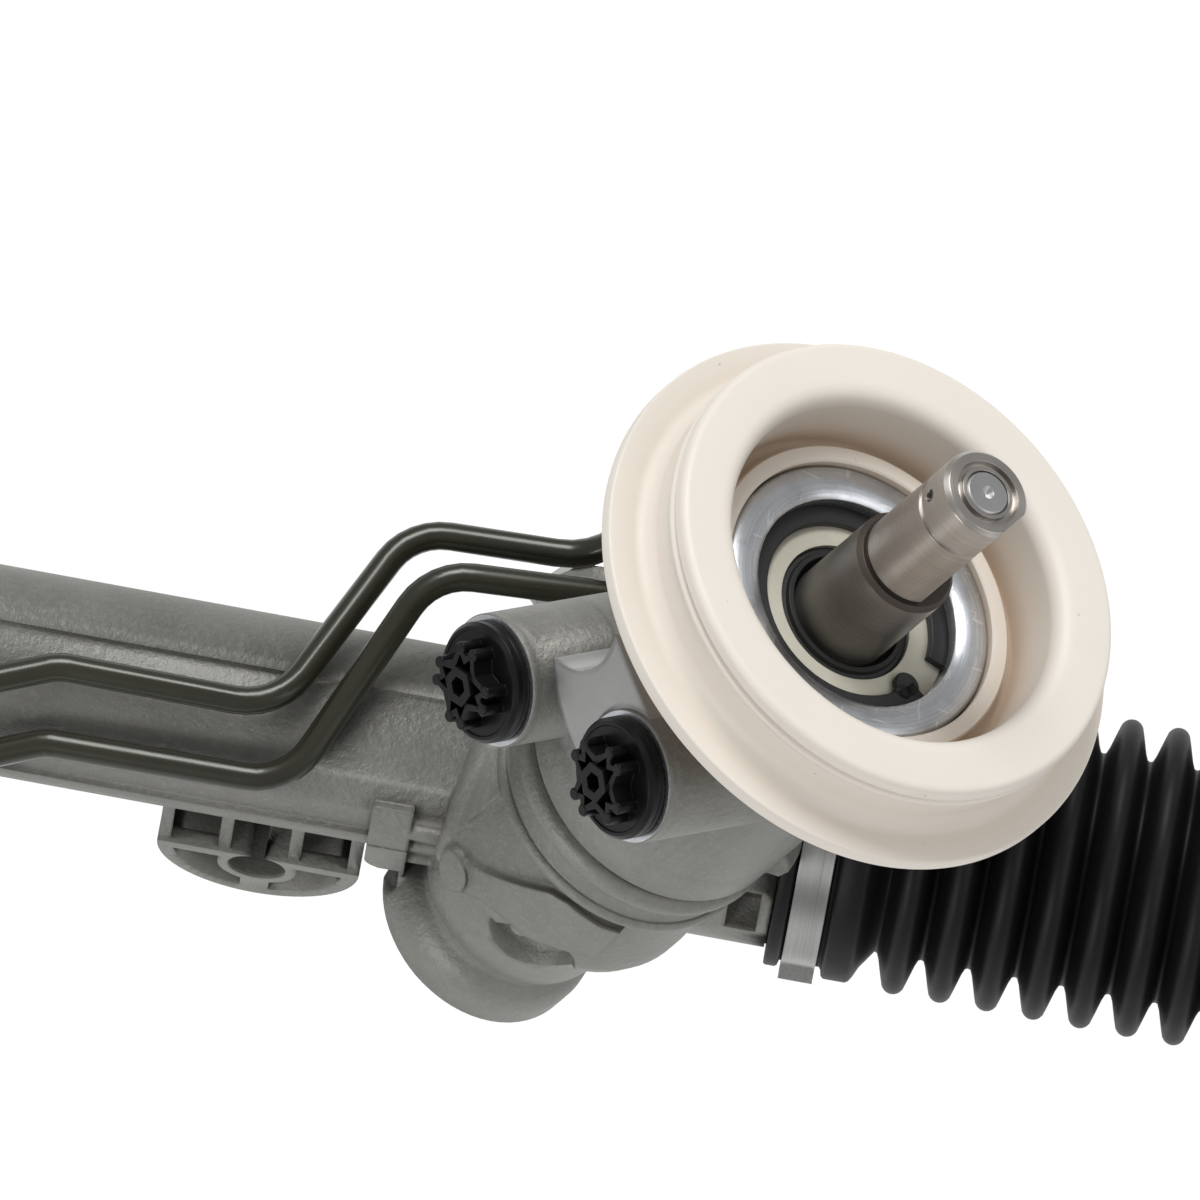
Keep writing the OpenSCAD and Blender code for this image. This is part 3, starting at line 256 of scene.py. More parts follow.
def turned(name, base, around, low, high, scratches=False, lines=2600, edge=0.00025):
    """Metal turned or ground about an axis; its gloss is drawn out across the marks."""
    origin, ax, ay, az = around
    s = Shader(name, base, low, 1.0, edge=edge, Anisotropic=0.7, Anisotropic_Rotation=0.25)
    s.around_tangent(origin, ax.cross(ay))
    round_it = s.around(origin, ax, ay, az)
    marks = s.noise(1.0, 3, 0.7, (lines, 40, lines * 0.9), round_it)
    broad = s.noise(60, 4, 0.6)
    c = s.ramp(marks, [(0.3, tone(base, 0.82)), (0.7, tone(base, 1.12))])
    c = s.mix(s.ramp(broad, [(0.45, 0.0), (0.75, 0.45)]), c, tone(base, 0.72))
    if scratches:
        cloud = s.noise(150, 5, 0.7)
        c = s.mix(s.ramp(cloud, [(0.48, 0.0), (0.66, 0.45)]), c, tone(base, 0.62))
        for scale, stretch in ((900, (1, 0.12, 0.3)), (760, (0.12, 1, 0.3))):
            nick = s.noise(scale, 1, 0.5, stretch)
            c = s.mix(s.ramp(nick, [(0.69, 0.0), (0.71, 0.6)]), c, (0.92, 0.94, 0.96))
            s.bump(nick, 0.08, 0.0001)
    s.colour(c)
    s.rough(marks, low, high)
    s.bump(marks, 0.16, 0.00006)
    return s.mat


def moulded(name, base, rough, grain_scale=900, metal=0.0, spread=0.12, bump=0.12, edge=0.0003,
            **inputs):
    """Moulded or coated surface with a fine grain and a slight cloudiness."""
    s = Shader(name, base, rough, metal, edge=edge, **inputs)
    cloud = s.noise(22, 4, 0.6)
    c = s.ramp(cloud, [(0.3, tone(base, 1 - spread)), (0.7, tone(base, 1 + spread))])
    fine = s.noise(grain_scale, 3, 0.6)
    c = s.mix(s.ramp(fine, [(0.58, 0.0), (0.75, 0.25)]), c, tone(base, 1 + 3 * spread))
    s.colour(c)
    s.rough(s.noise(160, 4, 0.6), max(0.05, rough - 0.07), rough + 0.08)
    s.bump(fine, bump, 0.0001)
    return s.mat


def cream_collar():
    """Cream moulding whose deep channel darkens to a brownish painted shade, with a few specks of
    dirt.
    """
    base, painted_shade_tan = (0.80, 0.745, 0.672), (0.58, 0.45, 0.33)
    s = Shader("collar_moulding", base, 0.5, edge=0.0002)
    c = s.ramp(s.noise(22, 4, 0.6), [(0.3, tone(base, 0.985)), (0.7, tone(base, 1.015))])
    # Painted shade: the channel and other hollows turn brownish by occlusion.
    c = s.mix(s.ramp(s.corners(0.03), [(0.15, 0.85), (0.8, 0.0)]), c, painted_shade_tan)
    c = s.mix(s.ramp(s.noise(330, 2, 0.5), [(0.755, 0.0), (0.78, 0.6)]), c, (0.42, 0.36, 0.28))
    s.colour(c)
    s.rough(s.noise(160, 4, 0.6), 0.44, 0.58)
    s.bump(s.noise(1400, 3, 0.6), 0.06, 0.0001)
    s.bump(s.noise(60, 2, 0.5), 0.10, 0.0006)
    return s.mat


def milled(name, base, along, across, rough):
    """Flat with slanted tool marks and spots left by the blasting."""
    s = Shader(name, base, rough, 1.0, edge=0.0002)
    way = s.around(PINION_O, along, across, along.cross(across))
    marks = s.noise(1.0, 3, 0.7, (900, 0.1, 0.1), way)
    slant = s.noise(700, 3, 0.65, (1, 0.12, 0.6))
    c = s.ramp(slant, [(0.3, tone(base, 0.78)), (0.7, tone(base, 1.15))])
    c = s.mix(s.ramp(s.noise(1500, 2, 0.6), [(0.55, 0.0), (0.70, 0.45)]), c, tone(base, 1.6))
    c = s.mix(s.ramp(s.noise(120, 4, 0.6), [(0.5, 0.0), (0.7, 0.5)]), c, tone(base, 0.7))
    s.colour(c)
    s.rough(marks, rough, rough + 0.14)
    s.bump(slant, 0.25, 0.00012)
    return s.mat


X, Y, Z = Vector((1, 0, 0)), Vector((0, 1, 0)), Vector((0, 0, 1))
CAST = cast_aluminium()
PINION_AXES, RACK_AXES = (PINION_O, PINION_X, PINION_Y, PINION_Z), (CROSSING, Y, Z, X)
MACHINED = turned("machined_aluminium", (0.66, 0.68, 0.71), PINION_AXES, 0.22, 0.36, True)
GROUND = turned("ground_steel", (0.50, 0.47, 0.44), PINION_AXES, 0.24, 0.38, False, 3400)
DARK_GROUND = turned("dark_steel", (0.27, 0.255, 0.235), PINION_AXES, 0.30, 0.46, False, 3400)
FLAT = milled("shaft_flat", (0.52, 0.475, 0.43), PINION_X, PINION_Z, 0.34)
SADDLE = moulded("saddle_aluminium", (0.36, 0.36, 0.355), 0.30, 900, 1.0, 0.10, 0.04, 0.0016)
SHOULDER = moulded("shoulder_steel", (0.085, 0.072, 0.062), 0.5, 900, 0.9)
RACK_STEEL = turned("rack_steel", (0.56, 0.56, 0.56), RACK_AXES, 0.2, 0.32, False, 3000)
PLAIN = moulded("plain_steel", (0.50, 0.50, 0.50), 0.34, 700, 1.0)
ZINC = moulded("zinc_steel", (0.42, 0.42, 0.395), 0.36, 600, 1.0)
CLAMP = turned("clamp_steel", (0.34, 0.34, 0.33), RACK_AXES, 0.26, 0.42, False, 1800)
BLACK_STEEL = moulded("black_steel", (0.035, 0.035, 0.036), 0.42, 800, 0.4)
TUBE = moulded("tube_coating", (0.030, 0.030, 0.031), 0.36, 700, 0.1)
OLIVE = moulded("line_coating", (0.026, 0.025, 0.015), 0.30, 1000, 0.2, 0.16, 0.08, Coat_Weight=0.2)
CREAM = cream_collar()
WASHER = moulded("washer_coating", (0.58, 0.56, 0.47), 0.55, 700, 0.2, 0.14)
PLUG = moulded("plug_plastic", (0.004, 0.004, 0.0045), 0.36, 1200, 0.0, 0.2, 0.06,
               Specular_IOR_Level=0.25)
POLYMER = moulded("inner_polymer", (0.66, 0.62, 0.50), 0.5, 900)
SEAL = moulded("seal_rubber", (0.014, 0.014, 0.014), 0.5, 900)
BELLOWS = moulded("bellows_rubber", (0.0055, 0.0055, 0.006), 0.5, 1300, 0.0, 0.2, 0.1,
                  Specular_IOR_Level=0.22)

LOOKS = {
    "housing_casting": CAST, "end_casting": CAST, "machined_aluminium": MACHINED,
    "tube_coating": TUBE, "line_coating": OLIVE, "ground_steel": GROUND, "plain_steel": PLAIN,
    "zinc_steel": ZINC, "clamp_steel": CLAMP, "black_steel": BLACK_STEEL, "washer_coating": WASHER,
    "collar_moulding": CREAM, "plug_plastic": PLUG, "inner_polymer": POLYMER,
    "seal_rubber": SEAL, "bellows_rubber": BELLOWS,
}
SLOT_OF = {part["node"]: part["material_slot"] for part in frame["record"]["subparts"]}
for name, obj in NODES.items():
    look = RACK_STEEL if name == "rack_bar" else LOOKS[SLOT_OF[name]]
    obj.data.materials.clear()
    obj.data.materials.append(look)

# Shapes in mm, placed by a frame
RACK = Matrix.Translation(CROSSING / MM)
GEAR = RACK @ Matrix.Rotation(-LEAN, 4, "X")
PINION = GEAR @ Matrix.Translation((0, -PINION_FRONT, 0)) @ Matrix.Rotation(TILT, 4, "Y")
TO_METRES = Matrix.Scale(MM, 4)


def turn(degrees, axis):
    return Matrix.Rotation(math.radians(degrees), 4, axis)


def shift(x, y, z):
    return Matrix.Translation((x, y, z))


def at_port(angle, z, side):
    """Frame whose local z leaves the pinion axis at an angle, at a height and beside it."""
    return PINION @ turn(angle, "Z") @ shift(0, side, z) @ turn(90, "Y")


def along_x(x):
    return RACK @ shift(x, 0, 0) @ turn(90, "Y")


def tidy(bm):
    """Merges doubled points and turns the faces outwards."""
    bmesh.ops.remove_doubles(bm, verts=bm.verts, dist=1e-6)
    bmesh.ops.dissolve_degenerate(bm, edges=bm.edges, dist=1e-7)
    bmesh.ops.recalc_face_normals(bm, faces=bm.faces)
    return bm


def shape(frame_mm, points, faces):
    bm = bmesh.new()
    verts = [bm.verts.new(TO_METRES @ frame_mm @ Vector(q)) for q in points]
    for face in faces:
        if len(set(face)) > 2:
            bm.faces.new([verts[k] for k in face])
    return tidy(bm)


def lathe(frame_mm, outline, start=0.0, angle=360.0, steps=96):
    """Closed outline of (radius, height) turned about local z."""
    whole = angle >= 360
    steps = max(4, int(steps * angle / 360))
    rows, n = steps if whole else steps + 1, len(outline)
    points = []
    for i in range(rows):
        a = math.radians(start + angle * i / steps)
        points += [(r * math.cos(a), r * math.sin(a), z) for r, z in outline]
    faces = []
    for i in range(steps):
        j = (i + 1) % rows
        for k in range(n):
            q = (k + 1) % n
            if outline[k][0] > 0 or outline[q][0] > 0:
                faces.append((i * n + k, j * n + k, j * n + q, i * n + q))
    if not whole:
        faces += [tuple(range(n)), tuple((rows - 1) * n + k for k in range(n))]
    return shape(frame_mm, points, faces)


def drum(frame_mm, radius, height, low=0.0, edge=0.0, steps=64):
    """Cylinder about local z whose rims may have a small chamfer."""
    top, inner = low + height, radius - edge
    outline = [(0, low), (inner, low), (radius, low + edge), (radius, top - edge), (inner, top),
               (0, top)]
    return lathe(frame_mm, outline, steps=steps)


def prism(frame_mm, outline, low, high):
    n = len(outline)
    points = [(x, y, low) for x, y in outline] + [(x, y, high) for x, y in outline]
    faces = [tuple(range(n)), tuple(range(n, 2 * n))]
    faces += [(k, (k + 1) % n, n + (k + 1) % n, n + k) for k in range(n)]
    return shape(frame_mm, points, faces)


def wall(frame_mm, outer, inner, low, high):
    """Upright wall between two outlines with as many points each."""
    n = len(outer)
    points = [(x, y, z) for z in (low, high) for line in (outer, inner) for x, y in line]
    faces = []
    for k in range(n):
        q = (k + 1) % n
        for a, b in ((0, 2), (1, 3), (0, 1), (2, 3)):
            faces.append((a * n + k, a * n + q, b * n + q, b * n + k))
    return shape(frame_mm, points, faces)


def bar(frame_mm, start, end, radius, steps=32):
    """Round bar with round ends."""
    way = Vector(end) - Vector(start)
    turn_to = way.to_track_quat("Z", "Y").to_matrix().to_4x4()
    bend = [math.radians(-90 + 15 * k) for k in range(13)]
    outline = [(radius * math.cos(a), radius * math.sin(a) + (way.length if a > 1e-6 else 0))
               for a in bend]
    return lathe(frame_mm @ shift(*start) @ turn_to, outline, steps=steps)


def arc(r, z, size, start, end, steps=8):
    """Points of an arc about (r, z), with angles in degrees."""
    angles = [math.radians(start + (end - start) * i / steps) for i in range(steps + 1)]
    return [(r + size * math.cos(a), z + size * math.sin(a)) for a in angles]


def as_object(name, *shapes):
    mesh = bpy.data.meshes.new(name)
    total = bmesh.new()
    for part in shapes:
        part.to_mesh(mesh)
        total.from_mesh(mesh)
        part.free()
    total.to_mesh(mesh)
    total.free()
    obj = bpy.data.objects.new(name, mesh)
    bpy.context.scene.collection.objects.link(obj)
    return obj


def cut(obj, tool, operation="DIFFERENCE"):
    """Applies a boolean with a tool, which is deleted."""
    mod = obj.modifiers.new("cut", "BOOLEAN")
    mod.operation, mod.solver, mod.object = operation, "EXACT", tool
    bpy.context.view_layer.update()
    mesh = bpy.data.meshes.new_from_object(obj.evaluated_get(bpy.context.evaluated_depsgraph_get()))
    obj.modifiers.clear()
    obj.data = mesh
    bpy.data.objects.remove(tool)


def join(obj, *others):
    total = bmesh.new()
    total.from_mesh(obj.data)
    for other in others:
        total.from_mesh(other.data)
        bpy.data.objects.remove(other)
    total.to_mesh(obj.data)
    total.free()


def finish_piece(obj, node, look, body="housing"):
    mesh = obj.data
    mesh.materials.clear()
    mesh.materials.append(look)
    for face in mesh.polygons:
        face.use_smooth = True
        face.material_index = 0
    mesh.set_sharp_from_angle(angle=math.radians(30))
    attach(obj, body)
    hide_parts(node)
    return obj


# Gear housing with its cast details
TOWER_R, RIM_Z = 30.5, 115.0
RIDGE_Z, BASE_R = RIM_Z - 81, TOWER_R - 6.8
PORTS = ((RIM_Z - 59.7, -18.0, -50.0), (RIM_Z - 30.8, 18.0, 7.0))    # height, side, turn of the plug
PORT_ANGLE, BOSS_R, BOSS_END, PORT_HOLE_R = 214.9, 14.0, 49.6, 7.5
TUBE_R = 21.3
BEHIND = GEAR @ turn(-90, "X")
CLEAR = 37                 # radius beyond all that a cutter takes off the tower
POCKET_ANGLE, PAD_ANGLE, PAD_END_ANGLE = -97, -115, -107


def housing_cutters():
    """What the plain casting has too much of."""
    front = [(CLEAR, RIDGE_Z + 10.5), (TOWER_R, RIDGE_Z + 10.5), (TOWER_R, RIDGE_Z + 1),
             (TOWER_R - 1.8, RIDGE_Z - 0.4), (TOWER_R - 1.6, RIDGE_Z - 8), (TOWER_R - 1, RIDGE_Z - 11),
             (TOWER_R - 1.4, RIDGE_Z - 15), (TOWER_R - 1.5, RIDGE_Z - 16.5), (TOWER_R - 0.5, 2),
             (CLEAR, 1.5)]
    yield as_object("cutter", lathe(PINION, front, -157, 134, 180))
    upper = [q for q in front if q[1] > RIDGE_Z - 16] + [(CLEAR, RIDGE_Z - 16)]
    yield as_object("cutter", lathe(PINION, upper, -205, 48.2, 180))
    rear = [(CLEAR, RIDGE_Z + 10.5), (TOWER_R, RIDGE_Z + 10.5), (TOWER_R, RIDGE_Z + 1),
            (TOWER_R - 0.6, RIDGE_Z - 2.8), (CLEAR, RIDGE_Z - 2.8)]
    yield as_object("cutter", lathe(PINION, rear, 24, 180, 180))
    groove = [(TOWER_R - 6.4, -22.6), (BASE_R - 1.9, -23.6), (BASE_R - 2.9, -25.2),
              (BASE_R - 2.9, -27.4), (BASE_R - 0.6, -29.6), (TOWER_R - 6.4, -31)]
    yield as_object("cutter", lathe(PINION, groove))
    yield as_object("cutter", drum(at_port(POCKET_ANGLE, -5, 0), 10, 20, 19))
    neck = [(20.5, 0), (32.5, 0), (32.5, 6.6), (20.5, 6.6)]
    yield as_object("cutter", lathe(along_x(33.6), neck, 238, 26))
    corner = [(TUBE_R + 0.02, 0), (30, 0), (30, 8), (TUBE_R + 0.02, 8)]
    yield as_object("cutter", lathe(along_x(-43), corner, 286, 46))
    yield as_object("cutter", drum(BEHIND, 27, 20, 42.5))
    yield as_object("cutter", lathe(BEHIND, [(17, 27.5), (27, 27.5), (27, 44), (17, 44)]))


def saddle():
    """Milled plate between the port bosses, with a round cut in one side."""
    low = 13.6
    here = at_port(PORT_ANGLE, PORTS[1][0], 0)
    outline = [(-12.1, 16), (-12.1, -13.4), (low - 4, -13.4), (low - 0.8, -7), (low, -2), (low, 16)]
    plate = as_object("saddle", prism(here, outline, 20, BOSS_END - 1.3))
    cut(plate, as_object("cutter", drum(here @ shift(-3.8, -20.2, 0), 14.4, 40, 15)))
    return plate


def base_pad():
    """Raised pad that crosses the tower's foot, with a round end."""
    here = at_port(PAD_ANGLE, 0, 0)
    outline = [(-1.5, -15), (-8.6, -7.8), (-17.5, 1.3), (-18.6, 5.4), (-17.4, 14.5), (-17.8, 17.8),
               (-6.2, 18.6), (-4.9, 12.9), (-2.2, 5.2), (-2.4, 0), (0.2, -6.7), (6, -12.7)]
    pad = as_object("pad", prism(here, outline, 12, 42))
    end = as_object("pad_end", drum(here @ shift(2.6, -14.8, 0), 4.1, 30, 12))
    for piece, radius in ((pad, TOWER_R + 0.5), (end, TOWER_R + 1.3)):
        cut(piece, as_object("cutter", drum(PINION, radius, 60, -20, steps=128)), "INTERSECT")
    join(pad, end)
    return pad


def front_lug():
    """Small lug on the rack tube with a ribbed web to the tower."""
    left, right = -42.6, -34
    upright = RACK @ shift(0, -10, 0) @ turn(90, "X")
    outline = [(left, 4), (right, 4), (right, -8.2), (-39.7, -8.2)]
    outline += arc(-38.4, -4, 4.2, 270, 180, 6)[1:]
    block = prism(upright, outline, 0, 14.6)
    low, high = TUBE_R - 2, TUBE_R + 3.4
    back = lathe(along_x(left), [(low, 0), (high, 0), (high, 8.6), (low, 8.6)], 234, 40)
    across = RACK @ shift(-35, 0, 0) @ turn(90, "Y")
    web = prism(across, [(-10, -21.8), (-10, -10), (6, -10), (6, -21.8)], 0, 9)
    ribs = [bar(RACK, (-34.5, -21.6, z), (-26, -21.6, z), 1.7, 20) for z in (-5, 2, 9)]
    return as_object("lug", block, back, web, *ribs)


def make_housing():
    """The housing's solid with its cast details cut in and laid on."""
    piece = bpy.data.objects.new("gear_housing_detail", NODES["gear_housing"].data.copy())
    bpy.context.scene.collection.objects.link(piece)
    bm = bmesh.new()
    bm.from_mesh(piece.data)
    tidy(bm).to_mesh(piece.data)
    bm.free()
    for cutter in housing_cutters():
        cut(piece, cutter)
    between = [(-27, -16), (27, -16), (27, 16), (-27, 16)]
    web = as_object("web", prism(at_port(PORT_ANGLE, 70, 0), between, 22, 60))
    cut(web, as_object("cutter", drum(PINION, TOWER_R + 0.02, 120, steps=128)))
    for z, side, _ in PORTS:
        cut(web, as_object("cutter", drum(at_port(PORT_ANGLE, z, side), BOSS_R + 0.02, 70)))
    cut(piece, web)
    sunk = TOWER_R - 6
    bead = ([(sunk, RIDGE_Z - 7)] + arc(TOWER_R - 2.4, RIDGE_Z - 4.2, 3, -60, 70, 12)
            + [(sunk, RIDGE_Z - 1)])
    low_bead = ([(sunk, RIDGE_Z - 14.8)] + arc(TOWER_R - 1.4, RIDGE_Z - 13.2, 1.6, -60, 60, 8)
                + [(sunk, RIDGE_Z - 11.6)])
    beads = as_object("beads",
                      lathe(PINION, bead, -205, 184, 180),
                      lathe(PINION, low_bead, -195, 174, 180),
                      bar(PINION @ turn(PAD_END_ANGLE, "Z"), (16, 0, -3), (24, 0, -3), 2.8),
                      bar(RACK, (-20, -7, 25.5), (-23.4, -24.5, 11.5), 5))
    ring = [(PORT_HOLE_R, 26), (BOSS_R, 26), (BOSS_R, BOSS_END - 0.3), (BOSS_R - 0.3, BOSS_END),
            (PORT_HOLE_R, BOSS_END)]
    bosses = as_object("bosses", *[lathe(at_port(PORT_ANGLE, z, side), ring) for z, side, _ in PORTS])
    join(piece, beads, saddle(), base_pad(), front_lug(), bosses)
    finish_piece(piece, "gear_housing", CAST)
    return piece


def mark_faces(obj, looks, choose):
    """Gives each face the look numbered by choose(point, normal), in the pinion's frame in mm."""
    for look in looks:
        obj.data.materials.append(look)
    for face in obj.data.polygons:
        n = Vector([face.normal.dot(axis) for axis in (PINION_X, PINION_Y, PINION_Z)])
        face.material_index = choose(in_pinion(face.center) / MM, n)


PORT_WAY = Vector((math.cos(math.radians(PORT_ANGLE)), math.sin(math.radians(PORT_ANGLE)), 0))


def housing_look(p, n):
    """1 where the casting is turned, 2 on the milled saddle."""
    if p.z > 101 and math.hypot(p.x, p.y) < 24.9 or p.z > RIM_Z - 1:
        return 1
    out, side = p.dot(PORT_WAY), PORT_WAY.x * p.y - PORT_WAY.y * p.x
    if out > BOSS_END - 0.6 and n.dot(PORT_WAY) > 0.9 and any(
            math.hypot(p.z - z, side - at) < BOSS_R + 1 for z, at, _ in PORTS):
        return 1
    if 30 < out < BOSS_END - 1 and 69 < p.z < 98 and -17 < side < 17 and all(
            math.hypot(p.z - z, side - at) > BOSS_R + 0.1 for z, at, _ in PORTS):
        return 2
    return 0


SHOULDER_Z, END_Z = RIM_Z + 19, RIM_Z + 51


def shaft_look(p, n):
    """1 on the thick part, 2 on the flat, 3 on the shoulder."""
    if p.z < SHOULDER_Z + 1.1:
        return 3 if p.z > SHOULDER_Z - 1.3 else 1
    across = math.hypot(n.x, n.y)
    off_axis = abs(p.x * n.x + p.y * n.y) < 8.6 and math.hypot(p.x, p.y) > 7.9
    if across > 0.99 and off_axis and p.z < END_Z - 1:
        return 2
    return 0


mark_faces(make_housing(), [MACHINED, SADDLE], housing_look)
mark_faces(NODES["input_shaft"], [DARK_GROUND, FLAT, SHOULDER], shaft_look)

# Plugs, collar, snap ring and yoke screw
QUARTERS, LEG_TURN, LEG_R = (0, 90, 180, 270), 14.5, 8


def star(shrink):
    """Outline of the grip: four pairs of legs with notches between them."""
    points = []
    for quarter in QUARTERS:
        for r, b in ((LEG_R, -LEG_TURN), (6, 0), (LEG_R, LEG_TURN), (4.8, 45)):
            a = math.radians(quarter + b)
            points.append(((r - shrink) * math.cos(a), (r - shrink) * math.sin(a)))
    return points


def hexagon(r):
    return [(r * math.cos(math.radians(60 * k)), r * math.sin(math.radians(60 * k))) for k in range(6)]


def port_plug(number, z, side, angle):
    """Round plug with a star grip, a hexagon inside it and a bead on each leg."""
    here = at_port(PORT_ANGLE, z, side) @ shift(0, 0, BOSS_END) @ turn(angle, "Z")
    top = 3.4
    disc = [(0, -9), (6.9, -9), (7.2, -8.6), (7.2, 0.05), (12.4, 0.05), (12.7, 0.4), (12.7, 1.3),
            (12.5, 1.5), (12.7, 1.7), (12.7, 3.0), (11.9, 3.9), (11.2, 3.9), (11.0, 3.6), (0, 3.6)]
    parts = [lathe(here, disc), wall(here, star(-0.7), star(1.1), top, top + 5),
             wall(here, hexagon(4.3), hexagon(2.2), top, top + 5.6),
             drum(here, 2.5, 2.4, top, steps=24)]
    for a in QUARTERS:
        for b in (-LEG_TURN, LEG_TURN):
            parts.append(drum(here @ turn(a + b, "Z") @ shift(LEG_R, 0, 0), 1.35, 5.1, top, 0.25, 20))
    finish_piece(as_object(f"port_plug_{number}", *parts), "port_plugs", PLUG)


for number, (z, side, angle) in enumerate(PORTS):
    port_plug(number, z, side, angle)

IN_R, DISC_R, FLANGE_R, OUT = 31.4, 51.5, 59.4, 16.0
CHANNEL_R, ROUND_R = IN_R + 7, 4.0
collar = ([(IN_R, -16), (IN_R, 0.8), (IN_R + 0.4, 1.2), (IN_R + 3.3, 1.2), (IN_R + 3.7, 0.8)]
          + arc(CHANNEL_R - 1.6, -2.6, 1.6, 180, 360)
          + arc(CHANNEL_R + ROUND_R, OUT - ROUND_R, ROUND_R, 180, 90, 14)
          + arc(DISC_R - 1.7, OUT - 1.7, 1.7, 90, 0)
          + [(DISC_R, OUT - 3.4), (DISC_R - 0.8, OUT - 4)]
          + arc(DISC_R - 0.9, OUT - 5.4, 1, 60, -60)
          + [(DISC_R - 1.2, OUT - 7.4), (DISC_R - 1.3, 3.2)]
          + arc(DISC_R + 2.4, 3.1, 3.7, 180, 270, 12) + arc(FLANGE_R - 0.5, -1.1, 0.5, 90, 0, 4)
          + arc(FLANGE_R - 0.5, -3.5, 0.5, 0, -90, 4)
          + [(DISC_R + 0.5, -4.6), (DISC_R - 4, -1), (DISC_R - 5.4, OUT - 8),
             (DISC_R - 7.6, OUT - 4.4), (DISC_R - 9, OUT - 4.4), (DISC_R - 10.4, OUT - 8),
             (DISC_R - 11, -5), (IN_R + 6.4, -9), (IN_R + 3.6, -10.4), (IN_R + 3.4, -16)])
finish_piece(as_object("collar_detail", lathe(PINION @ shift(0, 0, RIM_Z), collar, steps=192)),
             "seal_collar", CREAM)

MOUTH_R, CLIP_IN, EAR = 23.7, 19.6, -31.4
clip = PINION @ shift(0, 0, RIM_Z - 5.54)
clip_outline = [(CLIP_IN, 0.2), (CLIP_IN + 0.2, 0), (MOUTH_R + 1, 0), (MOUTH_R + 1, 1.7),
                (CLIP_IN + 0.3, 1.7), (CLIP_IN, 1.4)]
ear = turn(EAR - 4, "Z") @ shift(CLIP_IN, 0, 0)
ear_foot = turn(EAR - 10, "Z") @ shift(CLIP_IN + 0.9, 0, 0)
finish_piece(as_object("circlip_detail", lathe(clip, clip_outline, EAR + 24, 336, 120),
                       drum(clip @ ear, 2.9, 1.7, 0, 0.3, 32),
                       drum(clip @ ear_foot, 2, 1.7, 0, 0.3, 32)),
             "circlip", BLACK_STEEL)

adjuster = [(0, 38.6), (14.6, 38.6), (14.9, 39), (14.9, 45.2), (14.2, 46), (9.3, 46), (8.8, 45.4),
            (8.8, 41), (0, 41)]
finish_piece(as_object("yoke_adjuster_detail", lathe(BEHIND, adjuster)),
             "yoke_adjuster", BLACK_STEEL)
nut = hexagon(18.6)
finish_piece(as_object("yoke_locknut_detail",
                       wall(BEHIND, nut, [(x * 0.81, y * 0.81) for x, y in nut], 42.55, 45.4)),
             "yoke_locknut", ZINC)


# Bellows
def ring_mesh(name, profile, origin_x, direction, segments=96):
    """Closed outline of (distance, radius) pairs turned about the rack axis, in mm."""
    verts, faces = [], []
    for dist, radius in profile:
        for k in range(segments):
            a = 2 * math.pi * k / segments
            verts.append(CROSSING + Vector((origin_x + direction * dist, radius * math.cos(a),
                                            radius * math.sin(a))) * MM)
    n = len(profile)
    for i in range(n):
        j = (i + 1) % n
        for k in range(segments):
            q = (k + 1) % segments
            quad = (i * segments + k, j * segments + k, j * segments + q, i * segments + q)
            faces.append(quad if direction > 0 else quad[::-1])
    mesh = bpy.data.meshes.new(name)
    mesh.from_pydata(verts, [], faces)
    mesh.update()
    obj = bpy.data.objects.new(name, mesh)
    bpy.context.scene.collection.objects.link(obj)
    for f in mesh.polygons:
        f.use_smooth = True
    mesh.materials.append(BELLOWS)
    return obj


FOLD, FOLDS, FIRST = 9.9, 13, 14.4
TIP_R, DALE_R, WALL = 32.7, 24.6, 1.7
SEAM = FIRST + (FOLDS - 1.5) * FOLD
TIP_ARC, DALE_ARC = 2.5, 0.9
TIP_C, DALE_C = (0.0, TIP_R - TIP_ARC), (FOLD / 2, DALE_R + DALE_ARC)
SPAN = math.dist(TIP_C, DALE_C)
TURN = math.atan2(DALE_C[1] - TIP_C[1], DALE_C[0]) + math.acos((TIP_ARC + DALE_ARC) / SPAN)
FLANK = ((TIP_ARC * math.cos(TURN), TIP_C[1] + TIP_ARC * math.sin(TURN)),
         (DALE_C[0] - DALE_ARC * math.cos(TURN), DALE_C[1] - DALE_ARC * math.sin(TURN)))


def fold_radius(x):
    """Outside radius at a distance from the housing end: round tips, straight flanks, narrow dales."""
    u = abs(((x - FIRST) / FOLD + 0.5) % 1.0 - 0.5) * FOLD
    if u < FLANK[0][0]:
        return TIP_C[1] + math.sqrt(max(0.0, TIP_ARC ** 2 - u ** 2))
    if u > FLANK[1][0]:
        return DALE_C[1] - math.sqrt(max(0.0, DALE_ARC ** 2 - (DALE_C[0] - u) ** 2))
    k = (u - FLANK[0][0]) / (FLANK[1][0] - FLANK[0][0])
    return FLANK[0][1] + k * (FLANK[1][1] - FLANK[0][1])


def stretch(a, b, steps):
    """Outside outline of the folds between two distances."""
    places = [a + (b - a) * i / steps for i in range(steps + 1)]
    return [(x, fold_radius(x)) for x in places]


